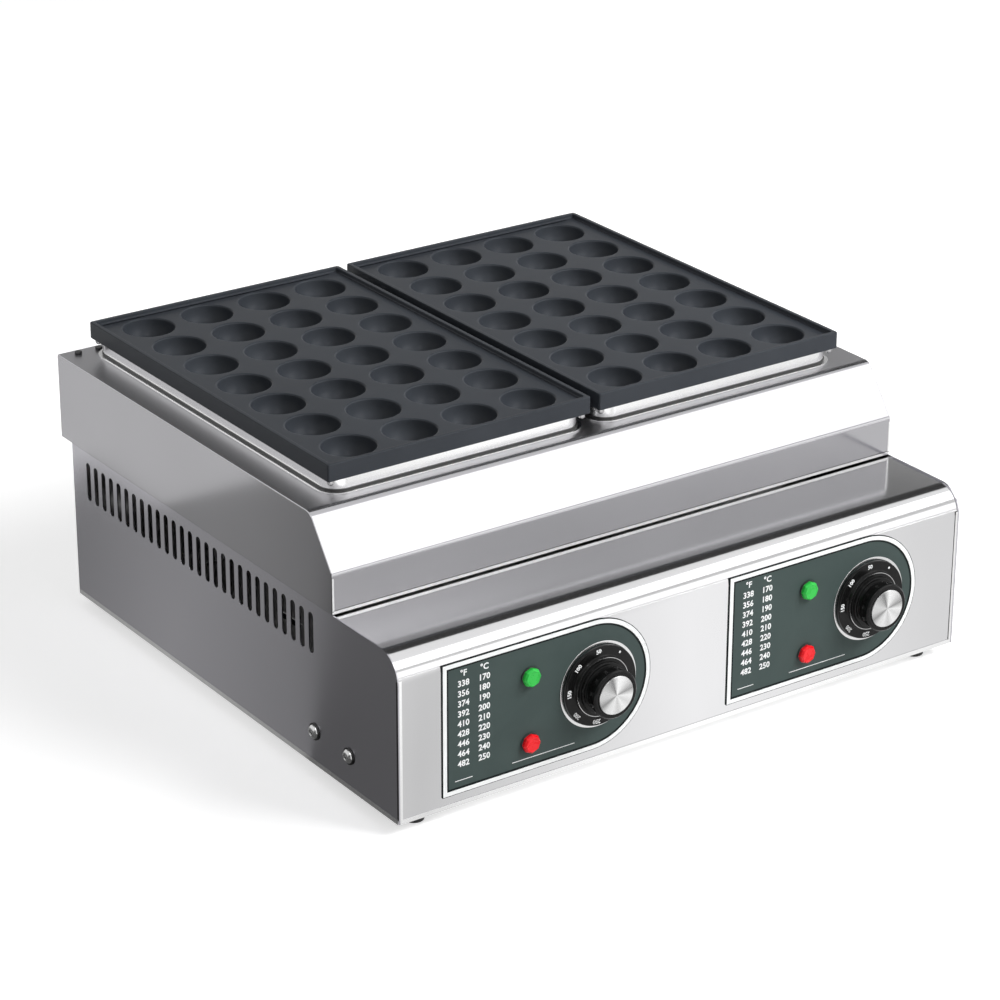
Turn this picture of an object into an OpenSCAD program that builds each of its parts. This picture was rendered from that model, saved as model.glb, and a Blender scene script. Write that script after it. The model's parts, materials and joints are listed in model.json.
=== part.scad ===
// Two-plate electric takoyaki maker: a stepped stainless casing with two lift-off cup plates.
// Lengths are in millimetres. The modules draw in casing coordinates: x from the casing's middle,
// y back from the front edge of the side panels, z up from the underside of the lower casing.

/* [Casing] */
// Width over the side panels
casing_w = 480; // [470:1:620]
// Depth of the lower casing
base_d = 435; // [425:1:560]
// Height of the lower casing, up to the seam under the hood
base_h = 121; // [112:1:160]
// Thickness of the stainless sheet
sheet_t = 1; // [0.8:0.1:1.4]
// Outside radius of the bend between the front face and the shelf
shelf_r = 20; // [8:1:30]
// How far the side panels' edges stand proud of the front face and the shelf
edge_proud = 0.8; // [0.5:0.1:1.5]
// Width of the inward flanges that join the panels
flange_w = 14; // [10:1:20]
// Height of the folded lip along the front bottom edge
lip_h = 3; // [2:0.5:6]
// How far the folded lip stands proud of the front face
lip_proud = 0.4; // [0.2:0.1:0.5]

/* [Vents] */
// Number of upright slots in each side panel
slot_count = 28; // [10:1:30]
// Pitch of the slots
slot_pitch = 11.35; // [9:0.05:13]
// Width of a slot
slot_w = 6; // [3:0.5:7]
// Length of a slot, over its round ends
slot_l = 30; // [12:1:38]
// Distance from the seam down to the middle of the slots
slot_drop = 23; // [22:1:35]
// Distance from the front edge to the first slot
slot_front = 105; // [100:1:120]

/* [Hood] */
// Height of the hood above the seam
hood_h = 65; // [60:1:110]
// Distance from the front edge to the upright part of the apron
apron_y = 78; // [60:1:95]
// Height of the upright part of the apron
apron_h = 29; // [20:1:45]
// Distance from the front edge to the front edge of the hood's top
top_edge_y = 104; // [98:1:120]
// Radius of the bend along the front edge of the hood's top
hood_bend_r = 9; // [3:1:12]
// Radius of the bend between the two parts of the apron
apron_bend_r = 5; // [2:1:8]
// How far the hood hangs over the back panel
back_overhang = 16.5; // [8:0.5:30]
// Gap between the apron's hem and the shelf
apron_gap = 3; // [1:0.5:6]

/* [Cup plates] */
// Margin between the plates and the sides of the hood
plate_side_margin = 22; // [18:1:40]
// Margin in front of and behind the plates on the hood's top
plate_end_margin = 11; // [8:1:30]
// Gap between the two plates
plate_gap = 7.6; // [4:0.2:20]
// Height of a plate over its rim
plate_h = 12.5; // [10:0.5:20]
// Height of the rim above the cooking face
rim_h = 3; // [1:0.5:6]
// Thickness of the rim
rim_t = 3.5; // [2.5:0.5:6]
// Thickness of the web between the cups
web_t = 4; // [3:0.5:6]
// Diameter of a cup at its mouth
cup_d = 38; // [30:0.5:42]
// Thickness of a cup's wall
cup_wall = 2.5; // [1.5:0.5:4]
// Cups across a plate
cup_columns = 4; // [2:1:4]
// Cups from front to back
cup_rows = 7; // [3:1:7]
// Pitch of the cups across the plate
cup_pitch_x = 49; // [44:0.5:50]
// Pitch of the cups from front to back
cup_pitch_y = 45; // [43:0.5:47]
// Radius of the studs under a plate's corners
stud_r = 2.5; // [1.5:0.5:3]
// Height of the studs
stud_h = 4.5; // [2:0.5:6]

/* [Trays] */
// Height of a tray's collar above the hood
tray_rise = 11; // [6:1:20]
// Depth of a tray's floor below the hood's top
tray_depth = 21; // [16:1:30]
// Step from the plate's edge in to the collar
tray_inset = 3; // [2:0.5:6]
// Width of the collar's top lip
tray_lip = 3.5; // [3:0.5:5]
// Corner radius of the trays, measured at the plate's edge
tray_corner_r = 17; // [14:1:25]
// How far a tray's flange reaches past the plate's edge
tray_flange = 0.5; // [0:0.1:1]
// Gap between a plate and its tray
seat_gap = 0.2; // [0.1:0.1:0.5]

/* [Heating] */
// Diameter of the heating tube
tube_d = 7; // [5:0.5:9]
// Gap between the heating tube and the undersides of the cups
tube_gap = 1; // [0.5:0.5:4]
// Distance from the tray's wall to the outer lanes of the tube
lane_margin = 16; // [12:1:30]
// Radius of the elbows where the tube turns down
elbow_r = 9; // [8:1:12]
// Thickness of the insulation under a tray
wool_t = 12; // [6:1:15]
// Diameter of the porcelain bushes round the tube's ends
bush_d = 12; // [11:0.5:16]
// Diameter of the sensor bulb
bulb_d = 6; // [4:0.5:7]
// Length of the sensor bulb
bulb_l = 80; // [50:5:120]
// Diameter of the capillary tube
capillary_d = 2; // [1.5:0.5:3]

/* [Control panels] */
// Distance between the middles of the two panels
panel_pitch = 237; // [200:1:250]
// Shift of both panels along the front
panel_shift = -2.3; // [-5:0.1:5]
// Width of a panel
panel_w = 170; // [150:1:185]
// Height of a panel
panel_h = 97; // [80:1:98]
// Height of the middle of a panel
panel_z = 57.5; // [52:0.5:62]
// Width of the panel's border
border_w = 3.5; // [2:0.5:5]
// Thickness of the panel's border
border_t = 0.9; // [0.7:0.1:1.2]
// Thickness of the panel's field
field_t = 0.6; // [0.3:0.1:0.6]
// Distance from the middle of a panel to its knob
knob_offset = 41; // [30:0.5:45]
// Distance from the middle of a panel to its lamps
lamp_offset = -15; // [-30:0.5:-10]
// Distance between the two lamps of a panel
lamp_pitch = 49; // [35:1:60]
// Height of the middle between the lamps, above the middle of the panel
lamp_rise = -3; // [-10:1:5]
// Diameter of a lamp's lens
lamp_d = 14.5; // [12:0.5:18]
// How far a lens stands out of the panel
lamp_reach = 4.5; // [3:0.5:10]
// Diameter of a lamp's body behind the panel
lamp_body_d = 12; // [8:0.5:13]

/* [Knobs] */
// Outside diameter of the ring round the dial
ring_d = 63; // [60:1:72]
// Width of the ring
ring_w = 1.6; // [1:0.2:3]
// Diameter of a knob's skirt
skirt_d = 58.4; // [50:0.2:58.4]
// Thickness of the skirt
skirt_t = 2.6; // [2:0.2:4]
// Diameter of a knob's head
head_d = 35.5; // [30:0.5:40]
// Diameter of the aluminium cap
cap_d = 28; // [20:1:29]
// How far a knob reaches out in front of the side panels' edges
knob_reach = 21; // [18:0.5:30]
// Diameter of the spindle
spindle_d = 6; // [5:0.5:8]
// Width of a thermostat's body
stat_w = 46; // [36:1:52]
// Depth of a thermostat's body
stat_d = 30; // [20:1:40]

/* [Fasteners and feet] */
// Height of the rubber feet
foot_h = 9; // [6:1:20]
// Diameter of the rubber feet
foot_d = 17; // [14:1:30]
// Distance from the sides to the middle of the feet
foot_x = 22; // [16:1:40]
// Distance from the front edge to the middle of the front feet
foot_front = 16; // [14:1:40]
// Distance from the back face to the middle of the back feet
foot_back = 36; // [16:1:60]
// Diameter of the heads of the side screws
screw_head_d = 10; // [8:0.5:12]
// Height of the side screws
screw_z = 25; // [22:1:40]
// Distance from the front edge to the first side screw
screw_front = 60; // [50:1:70]
// Distance between the two side screws
screw_pitch = 43; // [30:1:50]
// Diameter of the cord's way through the gland
gland_bore_d = 11; // [8:0.5:12]
// How far the gland stands out of the back panel
gland_reach = 15; // [8:1:16]

/* [Hidden] */

LEFT = -1;
RIGHT = 1;
SIDES = [LEFT, RIGHT];
FINE = 96;              // facets of a visible circle
ROUND = 48;             // facets of a small circle
HEX = 6;                // a hexagon nut
BEND_STEPS = 8;         // steps of a sheet's bend
EPS = 0.01;             // overlap of a cutting tool
REACH = 1000;           // length of a cutting tool that goes all the way through
fit_gap = 0.1;          // gap between fixed pieces that seat on each other
run_gap = 0.05;         // radial clearance of a shaft in its bore
press_gap = 0.02;       // radial clearance of a shaft that is pushed on
hole_gap = 0.2;         // radial clearance of a screw or body in its hole

// Whole object, and the move from casing coordinates to the part's own frame
overall_back = base_d + back_overhang;
mid_y = (overall_back - knob_reach) / 2;
half_w = casing_w / 2;
hood_top = base_h + hood_h;
apron_bend_z = base_h + apron_h;
slot_z = base_h - slot_drop;
inner_w = casing_w - 2 * (sheet_t + fit_gap);

// Plates and cups
plate_w = (casing_w - plate_gap) / 2 - plate_side_margin;
plate_d = overall_back - top_edge_y - 2 * plate_end_margin;
plate_x = (plate_w + plate_gap) / 2;
plate_y = top_edge_y + plate_end_margin + plate_d / 2;
tray_top = hood_top + tray_rise;
plate_z = tray_top + seat_gap;
cook_z = plate_z + plate_h - rim_h;
cup_r = cup_d / 2;
bump_r = cup_r + cup_wall;
stud_inset = 4.5;                        // from a plate's edge to the middle of a stud

// Trays: steps in from the plate's edge
well_inset = tray_inset + tray_lip;
well_w = plate_w - 2 * well_inset;
well_d = plate_d - 2 * well_inset;
floor_z = hood_top - tray_depth;
hood_hole_inset = well_inset - sheet_t - fit_gap;

// Heating
tube_r = tube_d / 2;
tube_z = cook_z - bump_r - tube_gap - tube_r;
lane = (well_w / 2 - lane_margin) / 3;
outer_lane = 3 * lane;
leg_y = well_d / 2 - lane_margin;
turn_y = leg_y - lane;
wool_top = floor_z - sheet_t - fit_gap;
wool_low = wool_top - wool_t;
wool_gap = 4;                            // from a tray's wall in to the insulation
wool_inset = well_inset + wool_gap;
shield_low = wool_low - fit_gap - sheet_t;
leg_l = 10;                              // how far the tube's ends hang below the shield
leg_low = shield_low - leg_l;
pin_l = 8;
pin_r = 1.6;
bush_r = bush_d / 2;
bush_reach = 4;                          // how far a bush passes the shield and the tray's floor
bush_collar = 1.5;
bush_low = shield_low - bush_reach;
bush_top = floor_z + bush_reach;
lanes = [-3, -1, 1, 3] * lane;
bulb_gap = 0.4;
bulb_z = floor_z + bulb_d / 2 + bulb_gap;
bulb_start = -bulb_l / 2;
capillary_y = bulb_start - 22;
capillary_hole_r = capillary_d / 2 + 3;
bolt_x = well_w / 2 - 30;
bolt_y = well_d / 2 - 45;
bolt_r = 2;
bolt_tail = 3;                           // how far a bolt passes its nut
bolt_head_t = 2.5;
clamp_share = 1 / 5;                     // of the well's depth, from its middle to a clamp
clamp_y = well_d * clamp_share;
clamp_w = 9;
clamp_t = 1.2;

// Controls
knob_y = edge_proud - border_t;          // front of the panel's border
field_y = edge_proud - field_t;          // front of the panel's field
ring_t = 0.5;
skirt_gap = 1;                           // between the panel's field and the skirt
skirt_back = field_y - skirt_gap;
skirt_front = skirt_back - skirt_t;
cap_proud = 0.6;
cap_t = 1.4;
cap_back = -knob_reach + cap_t;
head_front = -knob_reach + cap_proud;
head_l = 7;
neck_d = head_d - 3;
step_l = 2;
step_d = head_d + 8;
bore_l = 11;
stat_y = edge_proud + sheet_t + fit_gap;
stat_back = stat_y + stat_d;
stat_plate_t = 2;                        // mounting plate of a thermostat
stat_margin = 2;                         // from the plate's edge in to the body
stat_thread_l = 8;
spindle_hole_r = 5;
spindle_l = 12;                          // how deep the spindle sits in the thermostat
spindle_in = stat_y + spindle_l;
lens_step = 1;
lamp_body_l = 24;
tab_w = 3;
tab_l = 7;
tab_t = 0.8;
nut_t = 3;
nut_r = 8.4;

// Holes and screws of the casing
foot_screw_r = 2.4;
foot_hole_r = foot_screw_r + hole_gap;
foot_taper = 0.8;
foot_web = 3;                            // rubber above the screw's head
foot_recess_r = 4.6;
foot_head_r = 4.2;
foot_head_t = 2.5;
foot_nut_r = 4.4;
foot_screw_top = 9;
side_screw_r = 2.5;
side_screw_l = 9;
side_nut_r = 4.4;
side_nut_t = 4;
washer_t = 0.8;
washer_w = 1.2;
head_top = 3.4;                          // height of a side screw's dome above the panel
dome = 1.6;                              // radius of that dome, as a share of the head's radius
seam_screw_r = 2;
top_screw_r = 1.5;
pan_head = 1.8;                          // radius of a pan head, as a share of the screw's radius
pan_head_t = 1.6;
seam_screw_y = [base_d * 0.35, base_d * 0.62, base_d * 0.88];
top_screw_x = [half_w - 13, half_w - 30];
top_screw_y = overall_back - 8.5;
back_screw_x = half_w - 20;
back_screw_z = [18, base_h - 20];
back_slot_n = 12;
back_slot_x = [-150, 10];
floor_slot_n = 7;                        // slots on each side of the base plate's middle
floor_slot_y = [base_d * 0.3, base_d * 0.5, base_d * 0.7];
foot_y = [foot_front, base_d - foot_back];
stat_screw_x = 14;
seam_x = half_w - flange_w / 2;

// Cross member, terminal block, gland and earth stud
cross_z = screw_z - 9;
cross_y0 = screw_front - 12;
cross_d = screw_pitch + 24;
cross_tab_h = 18;
cross_lip_h = 6;
block_w = 60;
block_d = 24;
block_h = 20;
block_y = base_d - 70;
pole_pitch = 12;
pole_r = 3;
wire_hole_r = 2.5;
wire_z = sheet_t + 12;                   // height of the wires' way into the block
gland_x = 150;
gland_z = 36;
gland_r = 8;
gland_in = 14;
gland_hex_r = gland_r + 4;
gland_hex_l = 5;
gland_cap_r = gland_r + 3;
gland_groove = 1;
earth_x = 190;
earth_z = 36;
earth_r = 3;
earth_in = 8;
earth_out = 14;
earth_nut_t = 4;

function unit(v) = v / norm(v);
function knob_x(side) = side * panel_pitch / 2 + panel_shift + knob_offset;
function lamp_x(side) = side * panel_pitch / 2 + panel_shift + lamp_offset;
function lamp_z(up) = panel_z + lamp_rise + up * lamp_pitch / 2;
function slot_y(i) = slot_front + i * slot_pitch;

// Points along the arc that rounds corner b between a and c
function fillet(a, b, c, r) =
    let (u = unit(a - b), w = unit(c - b), half = acos(u * w) / 2,
         mid = b + unit(u + w) * r / sin(half),
         s = b + u * r / tan(half) - mid, e = b + w * r / tan(half) - mid,
         a0 = atan2(s.y, s.x), turn = (atan2(e.y, e.x) - a0 + 540) % 360 - 180)
    [for (i = [0 : BEND_STEPS]) mid + r * [cos(a0 + turn * i / BEND_STEPS), sin(a0 + turn * i / BEND_STEPS)]];

// Corner b moved inwards by t from both of its sides, on an outline drawn clockwise
function inset_corner(a, b, c, t) =
    let (u = unit(b - a), w = unit(c - b), n1 = [u.y, -u.x], n2 = [w.y, -w.x])
    b + t * (n1 + n2) / (1 + n1 * n2);

// A clockwise outline of corners [y, z, radius], inset by t, as points
function outline(corners, t = 0) =
    let (n = len(corners),
         p = [for (k = corners) [k[0], k[1]]],
         q = [for (i = [0 : n - 1]) inset_corner(p[(i + n - 1) % n], p[i], p[(i + 1) % n], t)])
    [for (i = [0 : n - 1])
        each (corners[i][2] > t + EPS
            ? fillet(q[(i + n - 1) % n], q[i], q[(i + 1) % n], corners[i][2] - t)
            : [q[i]])];

base_corners = [[0, 0, 0], [0, base_h, shelf_r], [base_d, base_h, 0], [base_d, 0, 0]];
front_low = sheet_t + fit_gap;
shelf_back = apron_y + flange_w;
front_flange = foot_front + foot_d / 2;
flange_gap = 1;                          // between the flanges of neighbouring panels
front_corners = [
    [edge_proud, front_low, 0], [edge_proud, base_h - edge_proud, shelf_r - edge_proud],
    [shelf_back, base_h - edge_proud, 0], [shelf_back, front_low, 0]];
hood_low = base_h + fit_gap;
hood_corners = [
    [apron_y, hood_low, 0], [apron_y, apron_bend_z, apron_bend_r],
    [top_edge_y, hood_top, hood_bend_r], [overall_back, hood_top, 2 * sheet_t], [overall_back, hood_low, 0]];

// An outline in the y-z plane, extruded along x from x0
module along_x(x0, w) {
    translate([x0, 0, 0]) rotate([90, 0, 90]) linear_extrude(w) children();
}

// A cylinder along y, from y0 to y1
module rod_y(x, z, y0, y1, r, facets = ROUND) {
    translate([x, y0, z]) rotate([-90, 0, 0]) cylinder(h = y1 - y0, r = r, $fn = facets);
}

// A cylinder along z
module rod_z(x, y, z0, z1, r, facets = ROUND) {
    translate([x, y, z0]) cylinder(h = z1 - z0, r = r, $fn = facets);
}

module rounded_rect(w, d, r) {
    square([w - 2 * r, d], center = true);
    square([w, d - 2 * r], center = true);
    for (i = [-1, 1], j = [-1, 1]) translate([i * (w / 2 - r), j * (d / 2 - r)]) circle(r, $fn = ROUND);
}

module slot_2d(w, l) {
    square([w, l - w], center = true);
    for (j = [-1, 1]) translate([0, j * (l - w) / 2]) circle(w / 2, $fn = ROUND);
}

// A tray's outline, stepped in from the plate's edge by inset, from z0 to z1
module tray_block(inset, z0, z1) {
    translate([0, 0, z0]) linear_extrude(z1 - z0)
        rounded_rect(plate_w - 2 * inset, plate_d - 2 * inset, tray_corner_r - inset);
}

module at_plate(side) {
    translate([side * plate_x, plate_y, 0]) children();
}

module in_frame() {
    translate([0, -mid_y, foot_h]) children();
}

// ---- lower casing ----

// Inward flanges run along the bottom, the back and the seam of a side panel
module side_panel(side) {
    inner_x = side * (half_w - sheet_t);
    color("silver") in_frame() difference() {
        union() {
            along_x(side < 0 ? -half_w : half_w - sheet_t, sheet_t) polygon(outline(base_corners));
            side_flange(side, flange_w, front_low, front_flange + flange_gap, base_d - 2 * flange_w);
            side_flange(side, flange_w, base_h - sheet_t - fit_gap, shelf_back + flange_w,
                base_d - 2 * flange_w);
        }
        for (i = [0 : slot_count - 1])
            translate([inner_x, slot_y(i), slot_z]) rotate([90, 0, 90])
                linear_extrude(4 * sheet_t, center = true) slot_2d(slot_w, slot_l);
        for (i = [0, 1])
            translate([inner_x, screw_front + i * screw_pitch, screw_z]) rotate([0, 90, 0])
                cylinder(h = 4 * sheet_t, r = side_screw_r + hole_gap, center = true, $fn = ROUND);
        for (y = foot_y)
            rod_z(side * (half_w - foot_x), y, -EPS, 3 * sheet_t, foot_hole_r);
        for (y = seam_screw_y)
            rod_z(side * seam_x, y, base_h - 3 * sheet_t, base_h + EPS, seam_screw_r + hole_gap);
    }
}

module side_flange(side, w, z0, y0, y1) {
    translate([side < 0 ? -half_w + sheet_t - EPS : half_w - sheet_t - w + EPS, y0, z0])
        cube([w, y1 - y0, sheet_t]);
}

// Front face, rolled bend and shelf in one bent sheet, with a folded lip along the bottom
module front_panel() {
    x0 = -inner_w / 2;
    color("gainsboro") in_frame() difference() {
        union() {
            along_x(x0, inner_w) difference() {
                polygon(outline(front_corners));
                polygon(outline(front_corners, sheet_t));
                translate([shelf_back - sheet_t - EPS, 0]) square([2 * sheet_t, REACH]);
                translate([front_flange, -EPS]) square([REACH, front_low + 2 * sheet_t]);
            }
            translate([x0, edge_proud, 0]) cube([inner_w, sheet_t, front_low + sheet_t]);
            translate([x0, edge_proud - lip_proud, 0]) cube([inner_w, lip_proud + EPS, lip_h]);
        }
        for (side = SIDES) {
            rod_y(knob_x(side), panel_z, -EPS, shelf_r, spindle_hole_r);
            for (i = [-1, 1]) {
                rod_y(lamp_x(side), lamp_z(i), -EPS, shelf_r / 2, lamp_body_d / 2 + hole_gap);
                rod_y(knob_x(side) + i * stat_screw_x, panel_z, -EPS, shelf_r, bolt_r + hole_gap);
            }
        }
        for (i = [-1, 1])
            rod_z(i * (half_w - foot_x), foot_front, -EPS, 3 * sheet_t, foot_hole_r);
    }
}

module back_panel() {
    flange_z = base_h - sheet_t - fit_gap;
    color("silver") in_frame() difference() {
        union() {
            translate([-inner_w / 2, base_d - sheet_t, 0]) cube([inner_w, sheet_t, base_h - fit_gap]);
            translate([-inner_w / 2, base_d - flange_w, front_low]) cube([inner_w, flange_w, sheet_t]);
            translate([-inner_w / 2, base_d - flange_w, flange_z - fit_gap])
                cube([inner_w, flange_w, sheet_t]);
        }
        for (x0 = back_slot_x, i = [0 : back_slot_n - 1])
            translate([x0 + i * slot_pitch, base_d, slot_z - slot_l / 2]) rotate([90, 0, 0])
                linear_extrude(4 * sheet_t, center = true) slot_2d(slot_w, slot_l);
        rod_y(gland_x, gland_z, base_d - 2 * sheet_t, base_d + EPS, gland_r + hole_gap);
        rod_y(earth_x, earth_z, base_d - 2 * sheet_t, base_d + EPS, earth_r + hole_gap);
        for (i = [-1, 1], z = back_screw_z)
            rod_y(i * back_screw_x, z, base_d - 2 * sheet_t, base_d + EPS, seam_screw_r + hole_gap);
    }
}

// Flat plate that closes the casing from below, with rows of vent slots
module base_plate() {
    y0 = edge_proud + sheet_t + fit_gap;
    color("darkgray") in_frame() difference() {
        translate([-inner_w / 2, y0, 0]) cube([inner_w, base_d - sheet_t - fit_gap - y0, sheet_t]);
        for (y = floor_slot_y, i = [-floor_slot_n : floor_slot_n])
            translate([i * 2 * slot_pitch, y, -EPS]) linear_extrude(2 * sheet_t)
                slot_2d(slot_w, slot_l);
        for (i = [-1, 1], y = foot_y)
            rod_z(i * (half_w - foot_x), y, -EPS, 2 * sheet_t, foot_hole_r);
    }
}

// Channel behind the controls, which the side screws hold
module cross_member() {
    color("darkgray") in_frame() difference() {
        union() {
            translate([-inner_w / 2, cross_y0, cross_z]) cube([inner_w, cross_d, sheet_t]);
            for (i = [-1, 1]) translate([i < 0 ? -inner_w / 2 : inner_w / 2 - sheet_t, cross_y0, cross_z])
                cube([sheet_t, cross_d, cross_tab_h]);
            for (y = [cross_y0, cross_y0 + cross_d - sheet_t]) translate([-inner_w / 2, y, cross_z])
                cube([inner_w, sheet_t, cross_lip_h]);
        }
        for (i = [-1, 1], j = [0, 1])
            translate([i * inner_w / 2, screw_front + j * screw_pitch, screw_z]) rotate([0, 90, 0])
                cylinder(h = 6 * sheet_t, r = side_screw_r + hole_gap, center = true, $fn = ROUND);
    }
}

// ---- hood ----

module hood() {
    color("silver") in_frame() difference() {
        union() {
            difference() {
                along_x(-half_w, casing_w) polygon(outline(hood_corners));
                along_x(-half_w + sheet_t, casing_w - 2 * sheet_t) union() {
                    polygon(outline(hood_corners, sheet_t));
                    translate([apron_y + sheet_t, 0])
                        square([overall_back - apron_y - 2 * sheet_t, hood_low + 2 * sheet_t]);
                }
                translate([-half_w + sheet_t, apron_y - 1, 0])
                    cube([casing_w - 2 * sheet_t, 2 * sheet_t + 1, base_h + apron_gap]);
            }
            for (side = SIDES)
                side_flange(side, flange_w, hood_low, shelf_back + flange_w, overall_back - EPS - sheet_t);
            translate([-half_w + sheet_t - EPS, base_d - flange_w, hood_low])
                cube([casing_w - 2 * sheet_t + 2 * EPS, back_overhang + flange_w - sheet_t + EPS, sheet_t]);
        }
        for (side = SIDES) {
            at_plate(side) tray_block(hood_hole_inset, hood_top - 2 * sheet_t, hood_top + EPS);
            for (y = seam_screw_y)
                rod_z(side * seam_x, y, base_h, base_h + 3 * sheet_t, seam_screw_r + hole_gap);
            for (x = top_screw_x)
                rod_z(side * x, top_screw_y, hood_top - 2 * sheet_t, hood_top + EPS, top_screw_r + hole_gap);
        }
    }
}

// Drawn tray: a flange on the hood, a raised collar under the plate's edge, and a well below it
module tray(side) {
    low = hood_top + fit_gap;
    color("gainsboro") in_frame() at_plate(side) difference() {
        union() {
            tray_block(-tray_flange, low, low + sheet_t);
            tray_block(tray_inset, low, tray_top);
            tray_block(well_inset - sheet_t, floor_z - sheet_t, tray_top);
        }
        tray_block(well_inset, floor_z, tray_top + EPS);
        difference() {
            tray_block(tray_inset + sheet_t, low - EPS, tray_top - sheet_t);
            tray_block(well_inset - sheet_t, low - 1, tray_top);
        }
        tray_passages(floor_z - 2 * sheet_t, floor_z + EPS);
    }
}

// ---- cup plates ----

module each_cup() {
    for (i = [0 : cup_columns - 1], j = [0 : cup_rows - 1])
        translate([(i - (cup_columns - 1) / 2) * cup_pitch_x, (j - (cup_rows - 1) / 2) * cup_pitch_y, cook_z])
            children();
}

// Cast plate: a raised rim, a thin web and round cups that bulge out below
module cup_plate(side) {
    web_low = cook_z - web_t;
    color([0.13, 0.14, 0.15]) in_frame() at_plate(side) difference() {
        union() {
            difference() {
                translate([-plate_w / 2, -plate_d / 2, plate_z]) cube([plate_w, plate_d, plate_h]);
                translate([rim_t - plate_w / 2, rim_t - plate_d / 2, cook_z])
                    cube([plate_w - 2 * rim_t, plate_d - 2 * rim_t, rim_h + EPS]);
                translate([rim_t - plate_w / 2, rim_t - plate_d / 2, plate_z - EPS])
                    cube([plate_w - 2 * rim_t, plate_d - 2 * rim_t, web_low - plate_z + EPS]);
            }
            difference() {
                each_cup() sphere(r = bump_r, $fn = ROUND);
                translate([-plate_w / 2, -plate_d / 2, cook_z - EPS]) cube([plate_w, plate_d, bump_r + 1]);
            }
        }
        each_cup() sphere(r = cup_r, $fn = ROUND);
    }
}

module plate_studs(side) {
    color("silver") in_frame() at_plate(side) for (i = [-1, 1], j = [-1, 1])
        translate([i * (plate_w / 2 - stud_inset), j * (plate_d / 2 - stud_inset), plate_z - stud_h])
            difference() {
                union() {
                    rod_z(0, 0, stud_r, stud_h - fit_gap, stud_r);
                    translate([0, 0, stud_r]) sphere(r = stud_r, $fn = ROUND);
                }
                translate([0, 0, stud_h - fit_gap + stud_r]) cube(2 * stud_r + EPS, center = true);
            }
}

// ---- heating ----

// Tube bent to an M under the cups; its two ends turn down through the tray
module element(side) {
    color("dimgray") in_frame() at_plate(side) translate([0, 0, tube_z]) {
        for (i = [-1, 1]) {
            rod_y(i * outer_lane, 0, elbow_r - leg_y, turn_y, tube_r);
            rod_y(i * lane, 0, -turn_y, turn_y, tube_r);
            translate([i * 2 * lane, turn_y, 0]) tube_arc(lane, 180);
            translate([i * outer_lane, elbow_r - leg_y, -elbow_r]) rotate([90, 0, 90]) rotate([0, 0, 90])
                tube_arc(elbow_r, 90);
            rod_z(i * outer_lane, -leg_y, leg_low - tube_z, -elbow_r, tube_r);
            rod_z(i * outer_lane, -leg_y, leg_low - tube_z - pin_l, leg_low - tube_z, pin_r);
        }
        translate([0, -turn_y, 0]) rotate([0, 0, 180]) tube_arc(lane, 180);
    }
}

module tube_arc(r, turn) {
    rotate_extrude(angle = turn, $fn = FINE) translate([r, 0]) circle(tube_r, $fn = ROUND);
}

// Two cross bars on legs, with a strap round each lane of the tube
module element_clamps(side) {
    bar_z = tube_z - tube_r - clamp_t - fit_gap;
    color("gray") in_frame() at_plate(side) for (j = [-1, 1]) translate([0, j * clamp_y - clamp_w / 2, 0]) {
        difference() {
            union() {
                translate([-outer_lane - tube_d, 0, bar_z])
                    cube([2 * (outer_lane + tube_d), clamp_w, clamp_t]);
                for (x = lanes) rod_y(x, tube_z, 0, clamp_w, tube_r + clamp_t);
            }
            for (x = lanes) rod_y(x, tube_z, -EPS, clamp_w + EPS, tube_r + fit_gap);
        }
        for (i = [-1, 1]) translate([i * 2 * lane - clamp_t / 2, 0, floor_z + fit_gap])
            cube([clamp_t, clamp_w, bar_z - floor_z - fit_gap + EPS]);
    }
}

module bushes(side) {
    color("white") in_frame() at_plate(side) for (i = [-1, 1]) difference() {
        union() {
            rod_z(i * outer_lane, -leg_y, bush_low, bush_top, bush_r);
            rod_z(i * outer_lane, -leg_y, floor_z + fit_gap, bush_top, bush_r + bush_collar);
        }
        rod_z(i * outer_lane, -leg_y, bush_low - EPS, bush_top + EPS, tube_r + run_gap);
    }
}

// Holes through a tray's floor, the insulation and the shield
module tray_passages(z0, z1) {
    for (i = [-1, 1]) rod_z(i * outer_lane, -leg_y, z0, z1, bush_r + hole_gap);
    rod_z(0, capillary_y, z0, z1, capillary_hole_r);
    for (i = [-1, 1], j = [-1, 1]) rod_z(i * bolt_x, j * bolt_y, z0, z1, bolt_r + hole_gap);
}

module insulation(side) {
    color("ivory") in_frame() at_plate(side) difference() {
        tray_block(wool_inset, wool_low, wool_top);
        tray_passages(wool_low - EPS, wool_top + EPS);
    }
}

module shield(side) {
    wall = sheet_t + fit_gap;
    color("lightgray") in_frame() at_plate(side) difference() {
        tray_block(wool_inset - wall, shield_low, wool_low + wool_t / 2);
        tray_block(wool_inset - fit_gap, shield_low + sheet_t, wool_low + wool_t);
        tray_passages(shield_low - EPS, wool_low + wool_t);
    }
}

// Bolts that hang the shield from the tray, each with its nut
module shield_bolts(side) {
    color("gray") in_frame() at_plate(side) for (i = [-1, 1], j = [-1, 1]) {
        rod_z(i * bolt_x, j * bolt_y, shield_low - nut_t - bolt_tail, floor_z + fit_gap, bolt_r);
        rod_z(i * bolt_x, j * bolt_y, floor_z + fit_gap, floor_z + bolt_head_t, 2 * bolt_r);
        rod_z(i * bolt_x, j * bolt_y, shield_low - nut_t - fit_gap, shield_low - fit_gap, 2 * bolt_r, HEX);
    }
}

// ---- controls ----

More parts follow.
